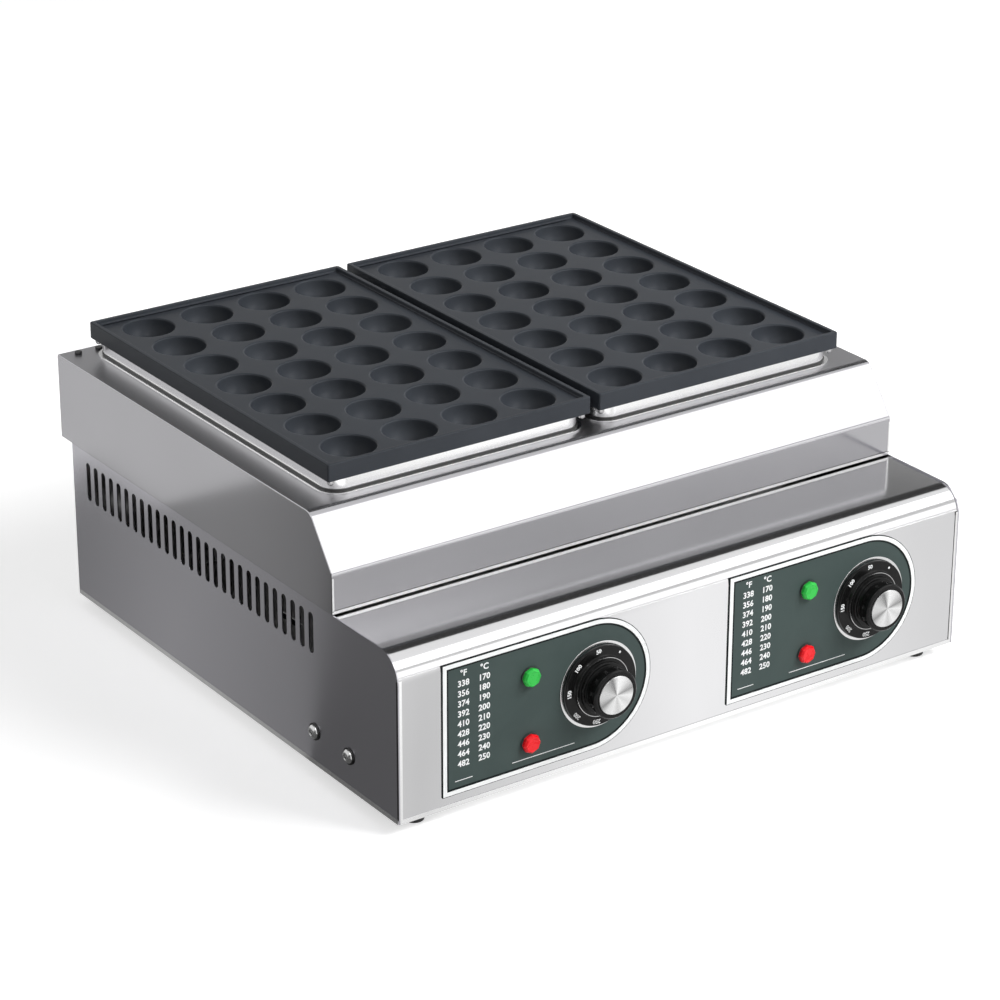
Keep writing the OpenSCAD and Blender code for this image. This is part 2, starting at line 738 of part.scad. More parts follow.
module thermostat(side) {
    x = knob_x(side);
    color("whitesmoke") in_frame() difference() {
        union() {
            translate([x - stat_w / 2, stat_y, panel_z - stat_w / 2]) cube([stat_w, stat_plate_t, stat_w]);
            translate([x - stat_w / 2 + stat_margin, stat_y, panel_z - stat_w / 2 + stat_margin])
                cube([stat_w - 2 * stat_margin, stat_d, stat_w - 2 * stat_margin]);
        }
        rod_y(x, panel_z, stat_y - EPS, spindle_in + 1, spindle_d / 2 + run_gap);
        for (i = [-1, 1])
            rod_y(x + i * stat_screw_x, panel_z, stat_y - EPS, stat_y + stat_thread_l, bolt_r + fit_gap);
    }
}

module spindle(side) {
    color("silver") in_frame() rod_y(knob_x(side), panel_z, skirt_front - bore_l, spindle_in, spindle_d / 2);
}

// Turned profile of a knob: radius against distance in front of the skirt's back
module knob(side) {
    x = knob_x(side);
    head_back = head_front + head_l;
    color([0.05, 0.05, 0.055]) in_frame() difference() {
        union() {
            rod_y(x, panel_z, skirt_front, skirt_back, skirt_d / 2, FINE);
            rod_y(x, panel_z, skirt_front - step_l, skirt_front + EPS, step_d / 2, FINE);
            rod_y(x, panel_z, head_back - EPS, skirt_front - step_l + EPS, neck_d / 2, FINE);
            rod_y(x, panel_z, head_front, head_back, head_d / 2, FINE);
        }
        rod_y(x, panel_z, head_front - EPS, cap_back + fit_gap, cap_d / 2 + fit_gap, FINE);
        rod_y(x, panel_z, skirt_front - bore_l - fit_gap, skirt_back + EPS, spindle_d / 2 + press_gap);
    }
}

module knob_cap(side) {
    color("lightgray") in_frame()
        rod_y(knob_x(side), panel_z, -knob_reach, cap_back, cap_d / 2, FINE);
}

module dial_ring(side) {
    color("gainsboro") in_frame() difference() {
        rod_y(knob_x(side), panel_z, field_y - ring_t - fit_gap, field_y - fit_gap, ring_d / 2, FINE);
        rod_y(knob_x(side), panel_z, field_y - 1, field_y, ring_d / 2 - ring_w, FINE);
    }
}

// A panel's outline: square corners on the left and a half circle on the right
module panel_2d(inset) {
    r = panel_h / 2 - inset;
    left = inset - panel_w / 2;
    translate([left, -r]) square([panel_w - panel_h / 2 - inset, 2 * r]);
    translate([(panel_w - panel_h) / 2, 0]) circle(r, $fn = 2 * FINE);
}

module panel_slab(side, inset, front, back) {
    translate([side * panel_pitch / 2 + panel_shift, back, panel_z]) rotate([90, 0, 0])
        linear_extrude(back - front) panel_2d(inset);
}

module panel_border(side) {
    color("white") in_frame() difference() {
        panel_slab(side, 0, knob_y, edge_proud - EPS);
        panel_slab(side, border_w, knob_y - 1, edge_proud + 1);
    }
}

module panel_field(side) {
    color([0.22, 0.29, 0.28]) in_frame() difference() {
        panel_slab(side, border_w + fit_gap, field_y, edge_proud - EPS);
        rod_y(knob_x(side), panel_z, -1, shelf_r, spindle_hole_r);
        for (i = [-1, 1]) {
            rod_y(lamp_x(side), lamp_z(i), -1, shelf_r, lamp_body_d / 2 + hole_gap);
            rod_y(knob_x(side) + i * stat_screw_x, panel_z, -1, shelf_r, 2 * bolt_r + hole_gap);
        }
    }
}

// Flanged lens of a lamp; up is 1 for the upper lamp and -1 for the lower one
module lamp(side, up, tint) {
    x = lamp_x(side);
    z = lamp_z(up);
    front = field_y - lamp_reach;
    color(tint) in_frame() {
        rod_y(x, z, front + lens_step, field_y - fit_gap, lamp_d / 2, FINE);
        rod_y(x, z, front, front + lens_step + EPS, lamp_d / 2 - lens_step, FINE);
    }
}

module each_lamp() {
    for (side = SIDES, up = [-1, 1]) translate([lamp_x(side), 0, lamp_z(up)]) children();
}

module lamp_bodies() {
    color("whitesmoke") in_frame() each_lamp() {
        rod_y(0, 0, field_y, lamp_body_l, lamp_body_d / 2);
        for (i = [-1, 1]) translate([i * tab_w - tab_w / 2, lamp_body_l - EPS, -tab_t / 2])
            cube([tab_w, tab_l, tab_t]);
    }
}

module lamp_nuts() {
    color("gray") in_frame() each_lamp() difference() {
        rod_y(0, 0, stat_y, stat_y + nut_t, nut_r, HEX);
        rod_y(0, 0, stat_y - 1, stat_y + nut_t + 1, lamp_body_d / 2 + run_gap);
    }
}

// ---- wires and the capillary: round tubes swept along routes with eased corners ----

WIRE_SIDES = 8;
WIRE_UP = [0.62, 0.21, 0.35];
wire_r = 1.4;
wire_bend = 10;

function eased(p, bend) = [
    p[0],
    for (i = [1 : len(p) - 2])
        let (a = p[i] + unit(p[i - 1] - p[i]) * bend, c = p[i] + unit(p[i + 1] - p[i]) * bend)
        for (t = [0 : 0.25 : 1]) (1 - t) * (1 - t) * a + 2 * t * (1 - t) * p[i] + t * t * c,
    p[len(p) - 1]];

function heading(p, i) = unit(p[min(i + 1, len(p) - 1)] - p[max(i - 1, 0)]);

function ring_at(at, along, r) =
    let (u = unit(cross(along, WIRE_UP)), w = cross(along, u))
    [for (k = [0 : WIRE_SIDES - 1]) at + r * (cos(360 * k / WIRE_SIDES) * u + sin(360 * k / WIRE_SIDES) * w)];

module swept_tube(route, r, bend = wire_bend) {
    p = eased(route, bend);
    n = len(p);
    s = WIRE_SIDES;
    polyhedron(
        points = [for (i = [0 : n - 1]) each ring_at(p[i], heading(p, i), r)],
        faces = [
            [for (k = [0 : s - 1]) k],
            for (i = [0 : n - 2], k = [0 : s - 1])
                each [[i * s + k, (i + 1) * s + k, (i + 1) * s + (k + 1) % s],
                      [i * s + k, (i + 1) * s + (k + 1) % s, i * s + (k + 1) % s]],
            [for (k = [s - 1 : -1 : 0]) (n - 1) * s + k]]);
}

// Capillary from the thermostat up through the tray's floor, ending in the sensor bulb
module capillary(side) {
    x = side * plate_x;
    y = plate_y + capillary_y;
    z = panel_z + 8;
    color("peru") in_frame() {
        swept_tube([
            [knob_x(side), stat_back + fit_gap, z], [knob_x(side), stat_back + 30, z], [x, y - 40, z + 14],
            [x, y, bulb_z - 60], [x, y, bulb_z], [x, plate_y + bulb_start + EPS, bulb_z]],
            capillary_d / 2, 4);
        rod_y(x, bulb_z, plate_y + bulb_start, plate_y + bulb_start + bulb_l, bulb_d / 2);
    }
}

// Wires from the terminal block to the thermostat and the lamps, and up to the element's pins
module wiring(side) {
    kx = knob_x(side);
    lx = lamp_x(side);
    pin_z = leg_low - pin_l - fit_gap - 0.1;
    pin_y = plate_y - leg_y;
    from = [side * pole_pitch, block_y - block_d / 2 - fit_gap, wire_z];
    low = panel_z - 16;
    high = panel_z + 16;
    color("firebrick") in_frame() {
        swept_tube([
            from, from - [0, 30, 0], [kx + side * 8, stat_back + 60, low],
            [kx + side * 8, stat_back + 30, low], [kx + side * 8, stat_back + fit_gap, low]], wire_r);
        for (i = [-1, 1]) {
            px = side * plate_x + i * outer_lane;
            swept_tube([
                [kx + i * 12, stat_back + fit_gap, high], [kx + i * 12, stat_back + 24, high],
                [px, pin_y - 20, pin_z - 43], [px, pin_y, pin_z - 33], [px, pin_y, pin_z]], wire_r);
            swept_tube([
                [lx - 3, lamp_body_l + tab_l + fit_gap, lamp_z(i)], [lx - 3, lamp_body_l + 20, lamp_z(i)],
                [kx - 16, stat_back + 26, panel_z + i * 6], [kx - 16, stat_back + fit_gap, panel_z + i * 6]],
                wire_r);
        }
    }
}

module terminal_block() {
    color("ivory") in_frame() difference() {
        translate([-block_w / 2, block_y - block_d / 2, sheet_t + fit_gap]) cube([block_w, block_d, block_h]);
        for (i = [-2 : 2]) {
            rod_z(i * pole_pitch, block_y, block_h / 2, block_h + 2 * sheet_t, pole_r);
            if (i != -1 && i != 1) rod_y(i * pole_pitch, wire_z, block_y + 4, block_y + block_d, wire_hole_r);
        }
    }
}

// Strain-relief gland in the back panel, empty, with its locknut inside
module cable_gland() {
    color([0.1, 0.1, 0.1]) in_frame() difference() {
        union() {
            rod_y(gland_x, gland_z, base_d - gland_in, base_d + gland_reach, gland_r);
            rod_y(gland_x, gland_z, base_d + fit_gap, base_d + gland_hex_l, gland_hex_r, HEX);
            rod_y(gland_x, gland_z, base_d + gland_hex_l + gland_groove, base_d + gland_reach, gland_cap_r);
        }
        rod_y(gland_x, gland_z, base_d - gland_in - 1, base_d + gland_reach + 1, gland_bore_d / 2);
    }
}

module gland_nut() {
    back = base_d - sheet_t - fit_gap;
    color([0.15, 0.15, 0.15]) in_frame() difference() {
        rod_y(gland_x, gland_z, back - gland_hex_l, back, gland_hex_r, HEX);
        rod_y(gland_x, gland_z, back - gland_in, back + 1, gland_r + run_gap);
    }
}

module earth_stud() {
    back = base_d - sheet_t - fit_gap;
    color("goldenrod") in_frame() {
        rod_y(earth_x, earth_z, back - earth_in, base_d + earth_out, earth_r);
        rod_y(earth_x, earth_z, back - earth_nut_t, back, 2 * earth_r, HEX);
        rod_y(earth_x, earth_z, base_d + fit_gap, base_d + earth_nut_t, 2 * earth_r, HEX);
    }
}

// ---- feet and fasteners ----

module foot(side, y) {
    color([0.08, 0.08, 0.08]) in_frame() translate([side * (half_w - foot_x), y, -foot_h]) difference() {
        cylinder(h = foot_h - fit_gap, r1 = foot_d / 2 - foot_taper, r2 = foot_d / 2, $fn = FINE);
        translate([0, 0, -EPS]) cylinder(h = foot_h + 1, r = foot_hole_r, $fn = ROUND);
        translate([0, 0, -EPS]) cylinder(h = foot_h - foot_web, r = foot_recess_r, $fn = ROUND);
    }
}

module foot_screws() {
    color("gray") in_frame() for (i = [-1, 1], y = foot_y)
        translate([i * (half_w - foot_x), y, 0]) {
            rod_z(0, 0, -foot_web - fit_gap, foot_screw_top, foot_screw_r);
            rod_z(0, 0, -foot_web - foot_head_t, -foot_web - fit_gap + EPS, foot_head_r);
            rod_z(0, 0, 3 * sheet_t, 3 * sheet_t + nut_t, foot_nut_r, HEX);
        }
}

// Domed screws with washers in the sides of the lower casing
module side_screws() {
    r = screw_head_d / 2;
    color("silver") in_frame() for (side = SIDES, j = [0, 1])
        translate([side * half_w, screw_front + j * screw_pitch, screw_z]) rotate([0, side * 90, 0]) {
            translate([0, 0, fit_gap]) cylinder(h = washer_t, r = r + washer_w, $fn = ROUND);
            intersection() {
                translate([0, 0, head_top - dome * r]) sphere(r = dome * r, $fn = ROUND);
                translate([0, 0, washer_t]) cylinder(h = head_top, r = r, $fn = ROUND);
            }
            translate([0, 0, -side_screw_l]) cylinder(h = side_screw_l + 1, r = side_screw_r, $fn = ROUND);
            translate([0, 0, -2 * (sheet_t + fit_gap) - side_nut_t])
                cylinder(h = side_nut_t, r = side_nut_r, $fn = HEX);
        }
}

// A small pan-head screw pointing along -z, its head on z = 0
module small_screw(r, shank) {
    cylinder(h = pan_head_t, r = pan_head * r, $fn = ROUND);
    translate([0, 0, -shank]) cylinder(h = shank + EPS, r = r, $fn = ROUND);
}

// Screws of the seam, the back panel, the hood's back corners and the thermostats
module casing_screws() {
    color("darkslategray") in_frame() {
        for (side = SIDES) {
            for (y = seam_screw_y)
                translate([side * (half_w - flange_w / 2), y, hood_low + sheet_t + fit_gap])
                    small_screw(seam_screw_r, 6);
            for (x = top_screw_x)
                translate([side * x, top_screw_y, hood_top + fit_gap]) small_screw(top_screw_r, 5);
            for (z = back_screw_z)
                translate([side * back_screw_x, base_d + fit_gap, z]) rotate([-90, 0, 0])
                    small_screw(seam_screw_r, 8);
            for (i = [-1, 1]) translate([knob_x(side) + i * stat_screw_x, edge_proud - fit_gap, panel_z]) {
                rod_y(0, 0, -1, 0, 2 * bolt_r);
                rod_y(0, 0, -EPS, stat_y - edge_proud + stat_thread_l - 1, bolt_r);
            }
        }
    }
}

side_panel(LEFT);  // left_side_panel
side_panel(RIGHT);  // right_side_panel
front_panel();
back_panel();
base_plate();
hood();
cross_member();
tray(LEFT);  // left_tray
tray(RIGHT);  // right_tray
cup_plate(LEFT);  // left_plate
cup_plate(RIGHT);  // right_plate
plate_studs(LEFT);  // left_plate_studs
plate_studs(RIGHT);  // right_plate_studs
element(LEFT);  // left_element
element(RIGHT);  // right_element
element_clamps(LEFT);  // left_element_clamps
element_clamps(RIGHT);  // right_element_clamps
bushes(LEFT);  // left_bushes
bushes(RIGHT);  // right_bushes
insulation(LEFT);  // left_insulation
insulation(RIGHT);  // right_insulation
shield(LEFT);  // left_shield
shield(RIGHT);  // right_shield
shield_bolts(LEFT);  // left_shield_bolts
shield_bolts(RIGHT);  // right_shield_bolts
thermostat(LEFT);  // left_thermostat
thermostat(RIGHT);  // right_thermostat
capillary(LEFT);  // left_capillary
capillary(RIGHT);  // right_capillary
spindle(LEFT);  // left_spindle
spindle(RIGHT);  // right_spindle
knob(LEFT);  // left_knob
knob(RIGHT);  // right_knob
knob_cap(LEFT);  // left_knob_cap
knob_cap(RIGHT);  // right_knob_cap
dial_ring(LEFT);  // left_dial_ring
dial_ring(RIGHT);  // right_dial_ring
panel_field(LEFT);  // left_panel_field
panel_field(RIGHT);  // right_panel_field
panel_border(LEFT);  // left_panel_border
panel_border(RIGHT);  // right_panel_border
lamp(LEFT, 1, [0.2, 0.75, 0.3]);  // left_power_lamp
lamp(LEFT, -1, [0.9, 0.1, 0.12]);  // left_heat_lamp
lamp(RIGHT, 1, [0.2, 0.75, 0.3]);  // right_power_lamp
lamp(RIGHT, -1, [0.9, 0.1, 0.12]);  // right_heat_lamp
lamp_bodies();
lamp_nuts();
wiring(LEFT);  // left_wiring
wiring(RIGHT);  // right_wiring
terminal_block();
cable_gland();
gland_nut();
earth_stud();
foot(LEFT, foot_front);  // front_left_foot
foot(RIGHT, foot_front);  // front_right_foot
foot(LEFT, base_d - foot_back);  // back_left_foot
foot(RIGHT, base_d - foot_back);  // back_right_foot
foot_screws();
side_screws();
casing_screws();
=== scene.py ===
import json
import math

import bmesh
import bpy
from mathutils import Matrix, Vector


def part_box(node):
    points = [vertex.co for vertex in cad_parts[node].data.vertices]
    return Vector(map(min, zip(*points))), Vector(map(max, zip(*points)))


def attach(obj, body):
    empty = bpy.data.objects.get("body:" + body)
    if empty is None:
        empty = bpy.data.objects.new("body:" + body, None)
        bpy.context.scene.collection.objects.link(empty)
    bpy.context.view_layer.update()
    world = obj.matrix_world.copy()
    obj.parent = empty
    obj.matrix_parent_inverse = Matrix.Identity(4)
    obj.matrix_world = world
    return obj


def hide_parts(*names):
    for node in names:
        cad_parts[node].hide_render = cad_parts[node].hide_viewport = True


# Looks of the two-plate takoyaki maker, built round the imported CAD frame.
# Shapes are modelled in millimetres in the casing's coordinates: x from its middle, y back from the front
# edge of the side panels, z up from its underside. PLACE turns them into the shared frame, in metres.
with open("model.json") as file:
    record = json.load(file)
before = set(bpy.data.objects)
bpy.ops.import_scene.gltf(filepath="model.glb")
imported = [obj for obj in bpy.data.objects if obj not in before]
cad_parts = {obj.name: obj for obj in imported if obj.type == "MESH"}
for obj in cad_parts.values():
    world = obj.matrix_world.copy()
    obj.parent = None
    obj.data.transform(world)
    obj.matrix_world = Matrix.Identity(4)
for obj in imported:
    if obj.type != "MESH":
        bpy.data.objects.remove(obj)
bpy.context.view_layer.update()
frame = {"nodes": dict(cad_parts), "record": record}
MM = 0.001
TAU = 2 * math.pi
CASING_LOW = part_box("left_side_panel")[0]
ORIGIN = Vector((0, CASING_LOW.y, CASING_LOW.z))
PLACE = Matrix.Translation(ORIGIN) @ Matrix.Diagonal((MM, MM, MM, 1))
SIDES = {"left": -1, "right": 1}


def casing_box(*nodes):
    """Lowest and highest corner of some CAD nodes together, in casing millimetres."""
    boxes = [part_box(node) for node in nodes]
    low = [min(box[0][axis] for box in boxes) for axis in range(3)]
    high = [max(box[1][axis] for box in boxes) for axis in range(3)]
    return (Vector(low) - ORIGIN) / MM, (Vector(high) - ORIGIN) / MM


# ---- node groups: effects that several finishes share ----

def new_group(name, inputs, outputs):
    """A shader group; inputs maps a label to its socket type and value, outputs lists float labels."""
    tree = bpy.data.node_groups.new(name, "ShaderNodeTree")
    for label, (kind, value) in inputs.items():
        socket = tree.interface.new_socket(name=label, in_out="INPUT", socket_type=kind)
        socket.default_value = value
    for label in outputs:
        tree.interface.new_socket(name=label, in_out="OUTPUT", socket_type="NodeSocketFloat")
    return tree, tree.nodes.new("NodeGroupInput"), tree.nodes.new("NodeGroupOutput")


def add(tree, kind, values=None, **settings):
    """A new node with its settings and the values of its unlinked inputs."""
    node = tree.nodes.new(kind)
    for label, value in settings.items():
        setattr(node, label, value)
    for label, value in (values or {}).items():
        node.inputs[label].default_value = value
    return node


def noise(tree, place, outlet, **values):
    """A noise texture read at a place, linked to one output of the group."""
    sockets = {label.capitalize(): value for label, value in values.items()}
    texture = add(tree, "ShaderNodeTexNoise", sockets)
    tree.links.new(place, texture.inputs["Vector"])
    tree.links.new(texture.outputs["Fac"], outlet)
    return texture


def brushed_grain_group():
    """Fine parallel streaks of a satin sheet, and the broad clouds of its rolling."""
    tree, entry, leave = new_group(
        "brushed_grain", {"Along": ("NodeSocketVector", (1, 1, 1))}, ["Streaks", "Clouds"])
    place = add(tree, "ShaderNodeTexCoord").outputs["Object"]
    stretch = add(tree, "ShaderNodeVectorMath", operation="MULTIPLY")
    tree.links.new(place, stretch.inputs[0])
    tree.links.new(entry.outputs["Along"], stretch.inputs[1])
    noise(tree, stretch.outputs["Vector"], leave.inputs["Streaks"], scale=1.0, detail=5.0, roughness=0.65)
    noise(tree, place, leave.inputs["Clouds"], scale=6.0, detail=2.0, roughness=0.5)
    return tree


def cast_grain_group():
    """Pebbled skin of a casting or moulding, and the uneven tone that use gives it."""
    tree, entry, leave = new_group("cast_grain", {"Size": ("NodeSocketFloat", 900.0)}, ["Height", "Tone"])
    place = add(tree, "ShaderNodeTexCoord").outputs["Object"]
    pebbles = noise(tree, place, leave.inputs["Height"], detail=3.0, roughness=0.6)
    tree.links.new(entry.outputs["Size"], pebbles.inputs["Scale"])
    noise(tree, place, leave.inputs["Tone"], scale=14.0, detail=4.0, roughness=0.55)
    return tree


def wipe_marks_group():
    """Faint smears that a cloth leaves on a clean hard surface, and tiny specks between them."""
    tree, entry, leave = new_group("wipe_marks", {"Size": ("NodeSocketFloat", 18.0)}, ["Marks", "Specks"])
    place = add(tree, "ShaderNodeTexCoord").outputs["Object"]
    marks = noise(tree, place, leave.inputs["Marks"], detail=5.0, roughness=0.7, distortion=1.2)
    tree.links.new(entry.outputs["Size"], marks.inputs["Scale"])
    noise(tree, place, leave.inputs["Specks"], scale=1400.0, detail=2.0, roughness=0.5)
    return tree


BRUSHED_GRAIN = brushed_grain_group()
CAST_GRAIN = cast_grain_group()
WIPE_MARKS = wipe_marks_group()


# ---- finishes ----

def tone_ramp(ramp, tones):
    """Greys at even steps along a colour ramp."""
    while len(ramp.elements) < len(tones):
        ramp.elements.new(0.5)
    for index, tone in enumerate(tones):
        ramp.elements[index].position = index / (len(tones) - 1)
        ramp.elements[index].color = (tone, tone, tone, 1)


class Finish:
    """A material being made: its Principled shader, and the nodes that vary it over the surface."""

    def __init__(self, name, **sockets):
        self.material = bpy.data.materials.new(name)
        self.material.use_nodes = True
        self.tree = self.material.node_tree
        self.shader = self.tree.nodes["Principled BSDF"]
        for label, value in sockets.items():
            self.shader.inputs[label.replace("_", " ")].default_value = value

    def link(self, outlet, inlet):
        self.tree.links.new(outlet, inlet)

    def read_place(self, node):
        """Feeds a node the piece's own coordinates."""
        self.link(add(self.tree, "ShaderNodeTexCoord").outputs["Object"], node.inputs["Vector"])

    def group(self, tree, **values):
        """The outputs of a shared group, with its inputs set."""
        node = add(self.tree, "ShaderNodeGroup", node_tree=tree)
        for label, value in values.items():
            node.inputs[label.capitalize()].default_value = value
        return node.outputs

    def spread(self, mask, to_low, to_high, low=0.3, high=0.7):
        """The mask, clamped from low to high and spread over another range."""
        node = add(self.tree, "ShaderNodeMapRange", {"From Min": low, "From Max": high,
                                                     "To Min": to_low, "To Max": to_high})
        self.link(mask, node.inputs["Value"])
        return node.outputs["Result"]

    def colour(self, mask, dark, light, low=0.3, high=0.7):
        """Base colour from dark to light as the mask rises from low to high."""
        ramp = add(self.tree, "ShaderNodeValToRGB")
        ramp.color_ramp.elements[0].position = low
        ramp.color_ramp.elements[0].color = (*dark, 1)
        ramp.color_ramp.elements[1].position = high
        ramp.color_ramp.elements[1].color = (*light, 1)
        self.link(mask, ramp.inputs["Fac"])
        self.link(ramp.outputs["Color"], self.shader.inputs["Base Color"])

    def roughness(self, mask, smooth, rough):
        self.link(self.spread(mask, smooth, rough), self.shader.inputs["Roughness"])

    def bump(self, height, strength, depth):
        """Relief of a height mask, with its depth in metres."""
        node = add(self.tree, "ShaderNodeBump", {"Strength": strength, "Distance": depth})
        self.link(height, node.inputs["Height"])
        self.link(node.outputs["Normal"], self.shader.inputs["Normal"])


def grey(value, blue=0.0):
    """A grey of that linear value, slightly blue."""
    return (value, value * (1 - blue / 4), value * (1 + blue))


WORN_ROUGHNESS = 0.22


def satin_steel(name, tone, blue, smooth, rough, along, worn_above=None):
    """Satin sheet with its streaks along one axis; along holds how many streaks cross a metre of each axis.

    Above the height worn_above the sheet is duller, from heat and from being wiped."""
    finish = Finish(name, Metallic=1.0)
    grain = finish.group(BRUSHED_GRAIN, along=along)
    finish.colour(grain["Clouds"], grey(tone * 0.97, blue), grey(tone * 1.03, blue))
    satin = finish.spread(grain["Streaks"], smooth, rough)
    if worn_above is not None:
        height = add(finish.tree, "ShaderNodeSeparateXYZ")
        finish.read_place(height)
        wear = finish.spread(height.outputs["Z"], 0, WORN_ROUGHNESS, worn_above, worn_above + MM)
        worn = add(finish.tree, "ShaderNodeMath", operation="ADD")
        finish.link(wear, worn.inputs[0])
        finish.link(satin, worn.inputs[1])
        satin = worn.outputs["Value"]
    finish.link(satin, finish.shader.inputs["Roughness"])
    finish.bump(grain["Streaks"], 0.04, 0.00001)
    return finish.material


def bright_metal(name, dark, light, smooth, rough):
    """Plated, polished or drawn metal with wipe marks."""
    finish = Finish(name, Metallic=1.0)
    marks = finish.group(WIPE_MARKS, size=30.0)
    finish.colour(marks["Marks"], dark, light)
    finish.roughness(marks["Marks"], smooth, rough)
    finish.bump(marks["Specks"], 0.06, 0.00001)
    return finish.material


def moulding(name, dark, light, smooth, rough, size=1500.0, relief=0.15):
    """Moulded plastic, rubber, porcelain or board with a grain of the given size."""
    finish = Finish(name)
    grain = finish.group(CAST_GRAIN, size=size)
    finish.colour(grain["Tone"], dark, light)
    finish.roughness(grain["Tone"], smooth, rough)
    finish.bump(grain["Height"], relief, 0.00006)
    return finish.material


def cast_coating():
    """Dark non-stick coating over a sand casting."""
    finish = Finish("cast_coating", Specular_IOR_Level=0.16)
    grain = finish.group(CAST_GRAIN, size=1100.0)
    finish.colour(grain["Tone"], (0.030, 0.034, 0.041), (0.040, 0.045, 0.053))
    finish.roughness(grain["Tone"], 0.34, 0.44)
    finish.bump(grain["Height"], 0.22, 0.00008)
    return finish.material


def gloss_black():
    """Polished phenolic resin, with the haze of fingers in its gloss."""
    finish = Finish("gloss_black", Specular_IOR_Level=0.16, Coat_Weight=0.05, Coat_Roughness=0.08)
    marks = finish.group(WIPE_MARKS, size=60.0)
    finish.colour(marks["Marks"], grey(0.004), grey(0.007))
    finish.roughness(marks["Marks"], 0.12, 0.20)
    finish.bump(marks["Specks"], 0.04, 0.00002)
    return finish.material


def printed_film(name, dark, light, smooth, rough):
    """Screen-printed film with a fine satin texture."""
    finish = Finish(name, Specular_IOR_Level=0.15)
    marks = finish.group(WIPE_MARKS, size=25.0)
    finish.colour(marks["Marks"], dark, light)
    finish.roughness(marks["Marks"], smooth, rough)
    finish.bump(marks["Specks"], 0.10, 0.00002)
    return finish.material


# Greys of the painted sheen on the knob caps, in steps round the cap's axis.
CAP_PAINTED_SHEEN = (0.62, 0.30, 0.72, 0.80, 0.60, 0.86, 0.70, 0.88, 0.34, 0.62, 0.84, 0.90, 0.24, 0.48, 0.66, 0.62)


def spun_aluminium(side):
    """Turned face with circular grooves round the knob's axis, and a painted sheen: a fan of greys in the
    base colour round that axis.
    """
    finish = Finish(side + "_spun_aluminium", Metallic=1.0, Anisotropic=0.8, Anisotropic_Rotation=0.25)
    low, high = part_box(side + "_knob_cap")
    centred = add(finish.tree, "ShaderNodeMapping", {"Location": -(Vector(low) + Vector(high)) / 2})
    across = add(finish.tree, "ShaderNodeSeparateXYZ")
    angle = add(finish.tree, "ShaderNodeMath", operation="ARCTAN2")
    finish.read_place(centred)
    finish.link(centred.outputs["Vector"], across.inputs["Vector"])
    finish.link(across.outputs["Z"], angle.inputs[0])
    finish.link(across.outputs["X"], angle.inputs[1])
    # Painted sheen: the base colour steps through these greys with the angle round the axis.
    fan = add(finish.tree, "ShaderNodeValToRGB")
    tone_ramp(fan.color_ramp, CAP_PAINTED_SHEEN)
    finish.link(finish.spread(angle.outputs["Value"], 0, 1, -math.pi, math.pi), fan.inputs["Fac"])
    finish.link(fan.outputs["Color"], finish.shader.inputs["Base Color"])
    finish.roughness(finish.group(WIPE_MARKS, size=90.0)["Specks"], 0.24, 0.30)
    turned = add(finish.tree, "ShaderNodeTangent", direction_type="RADIAL", axis="Y")
    finish.link(turned.outputs["Tangent"], finish.shader.inputs["Tangent"])
    return finish.material


def lamp_lens(name, dark, light, glow):
    """Coloured moulded lens that glows faintly."""
    finish = Finish(name, Emission_Color=(*glow, 1), Emission_Strength=0.05, Specular_IOR_Level=0.25,
                    Coat_Weight=0.1, Coat_Roughness=0.1)
    marks = finish.group(WIPE_MARKS, size=120.0)
    finish.colour(marks["Marks"], dark, light)
    finish.roughness(marks["Marks"], 0.22, 0.34)
    finish.bump(marks["Specks"], 0.08, 0.00003)
    return finish.material


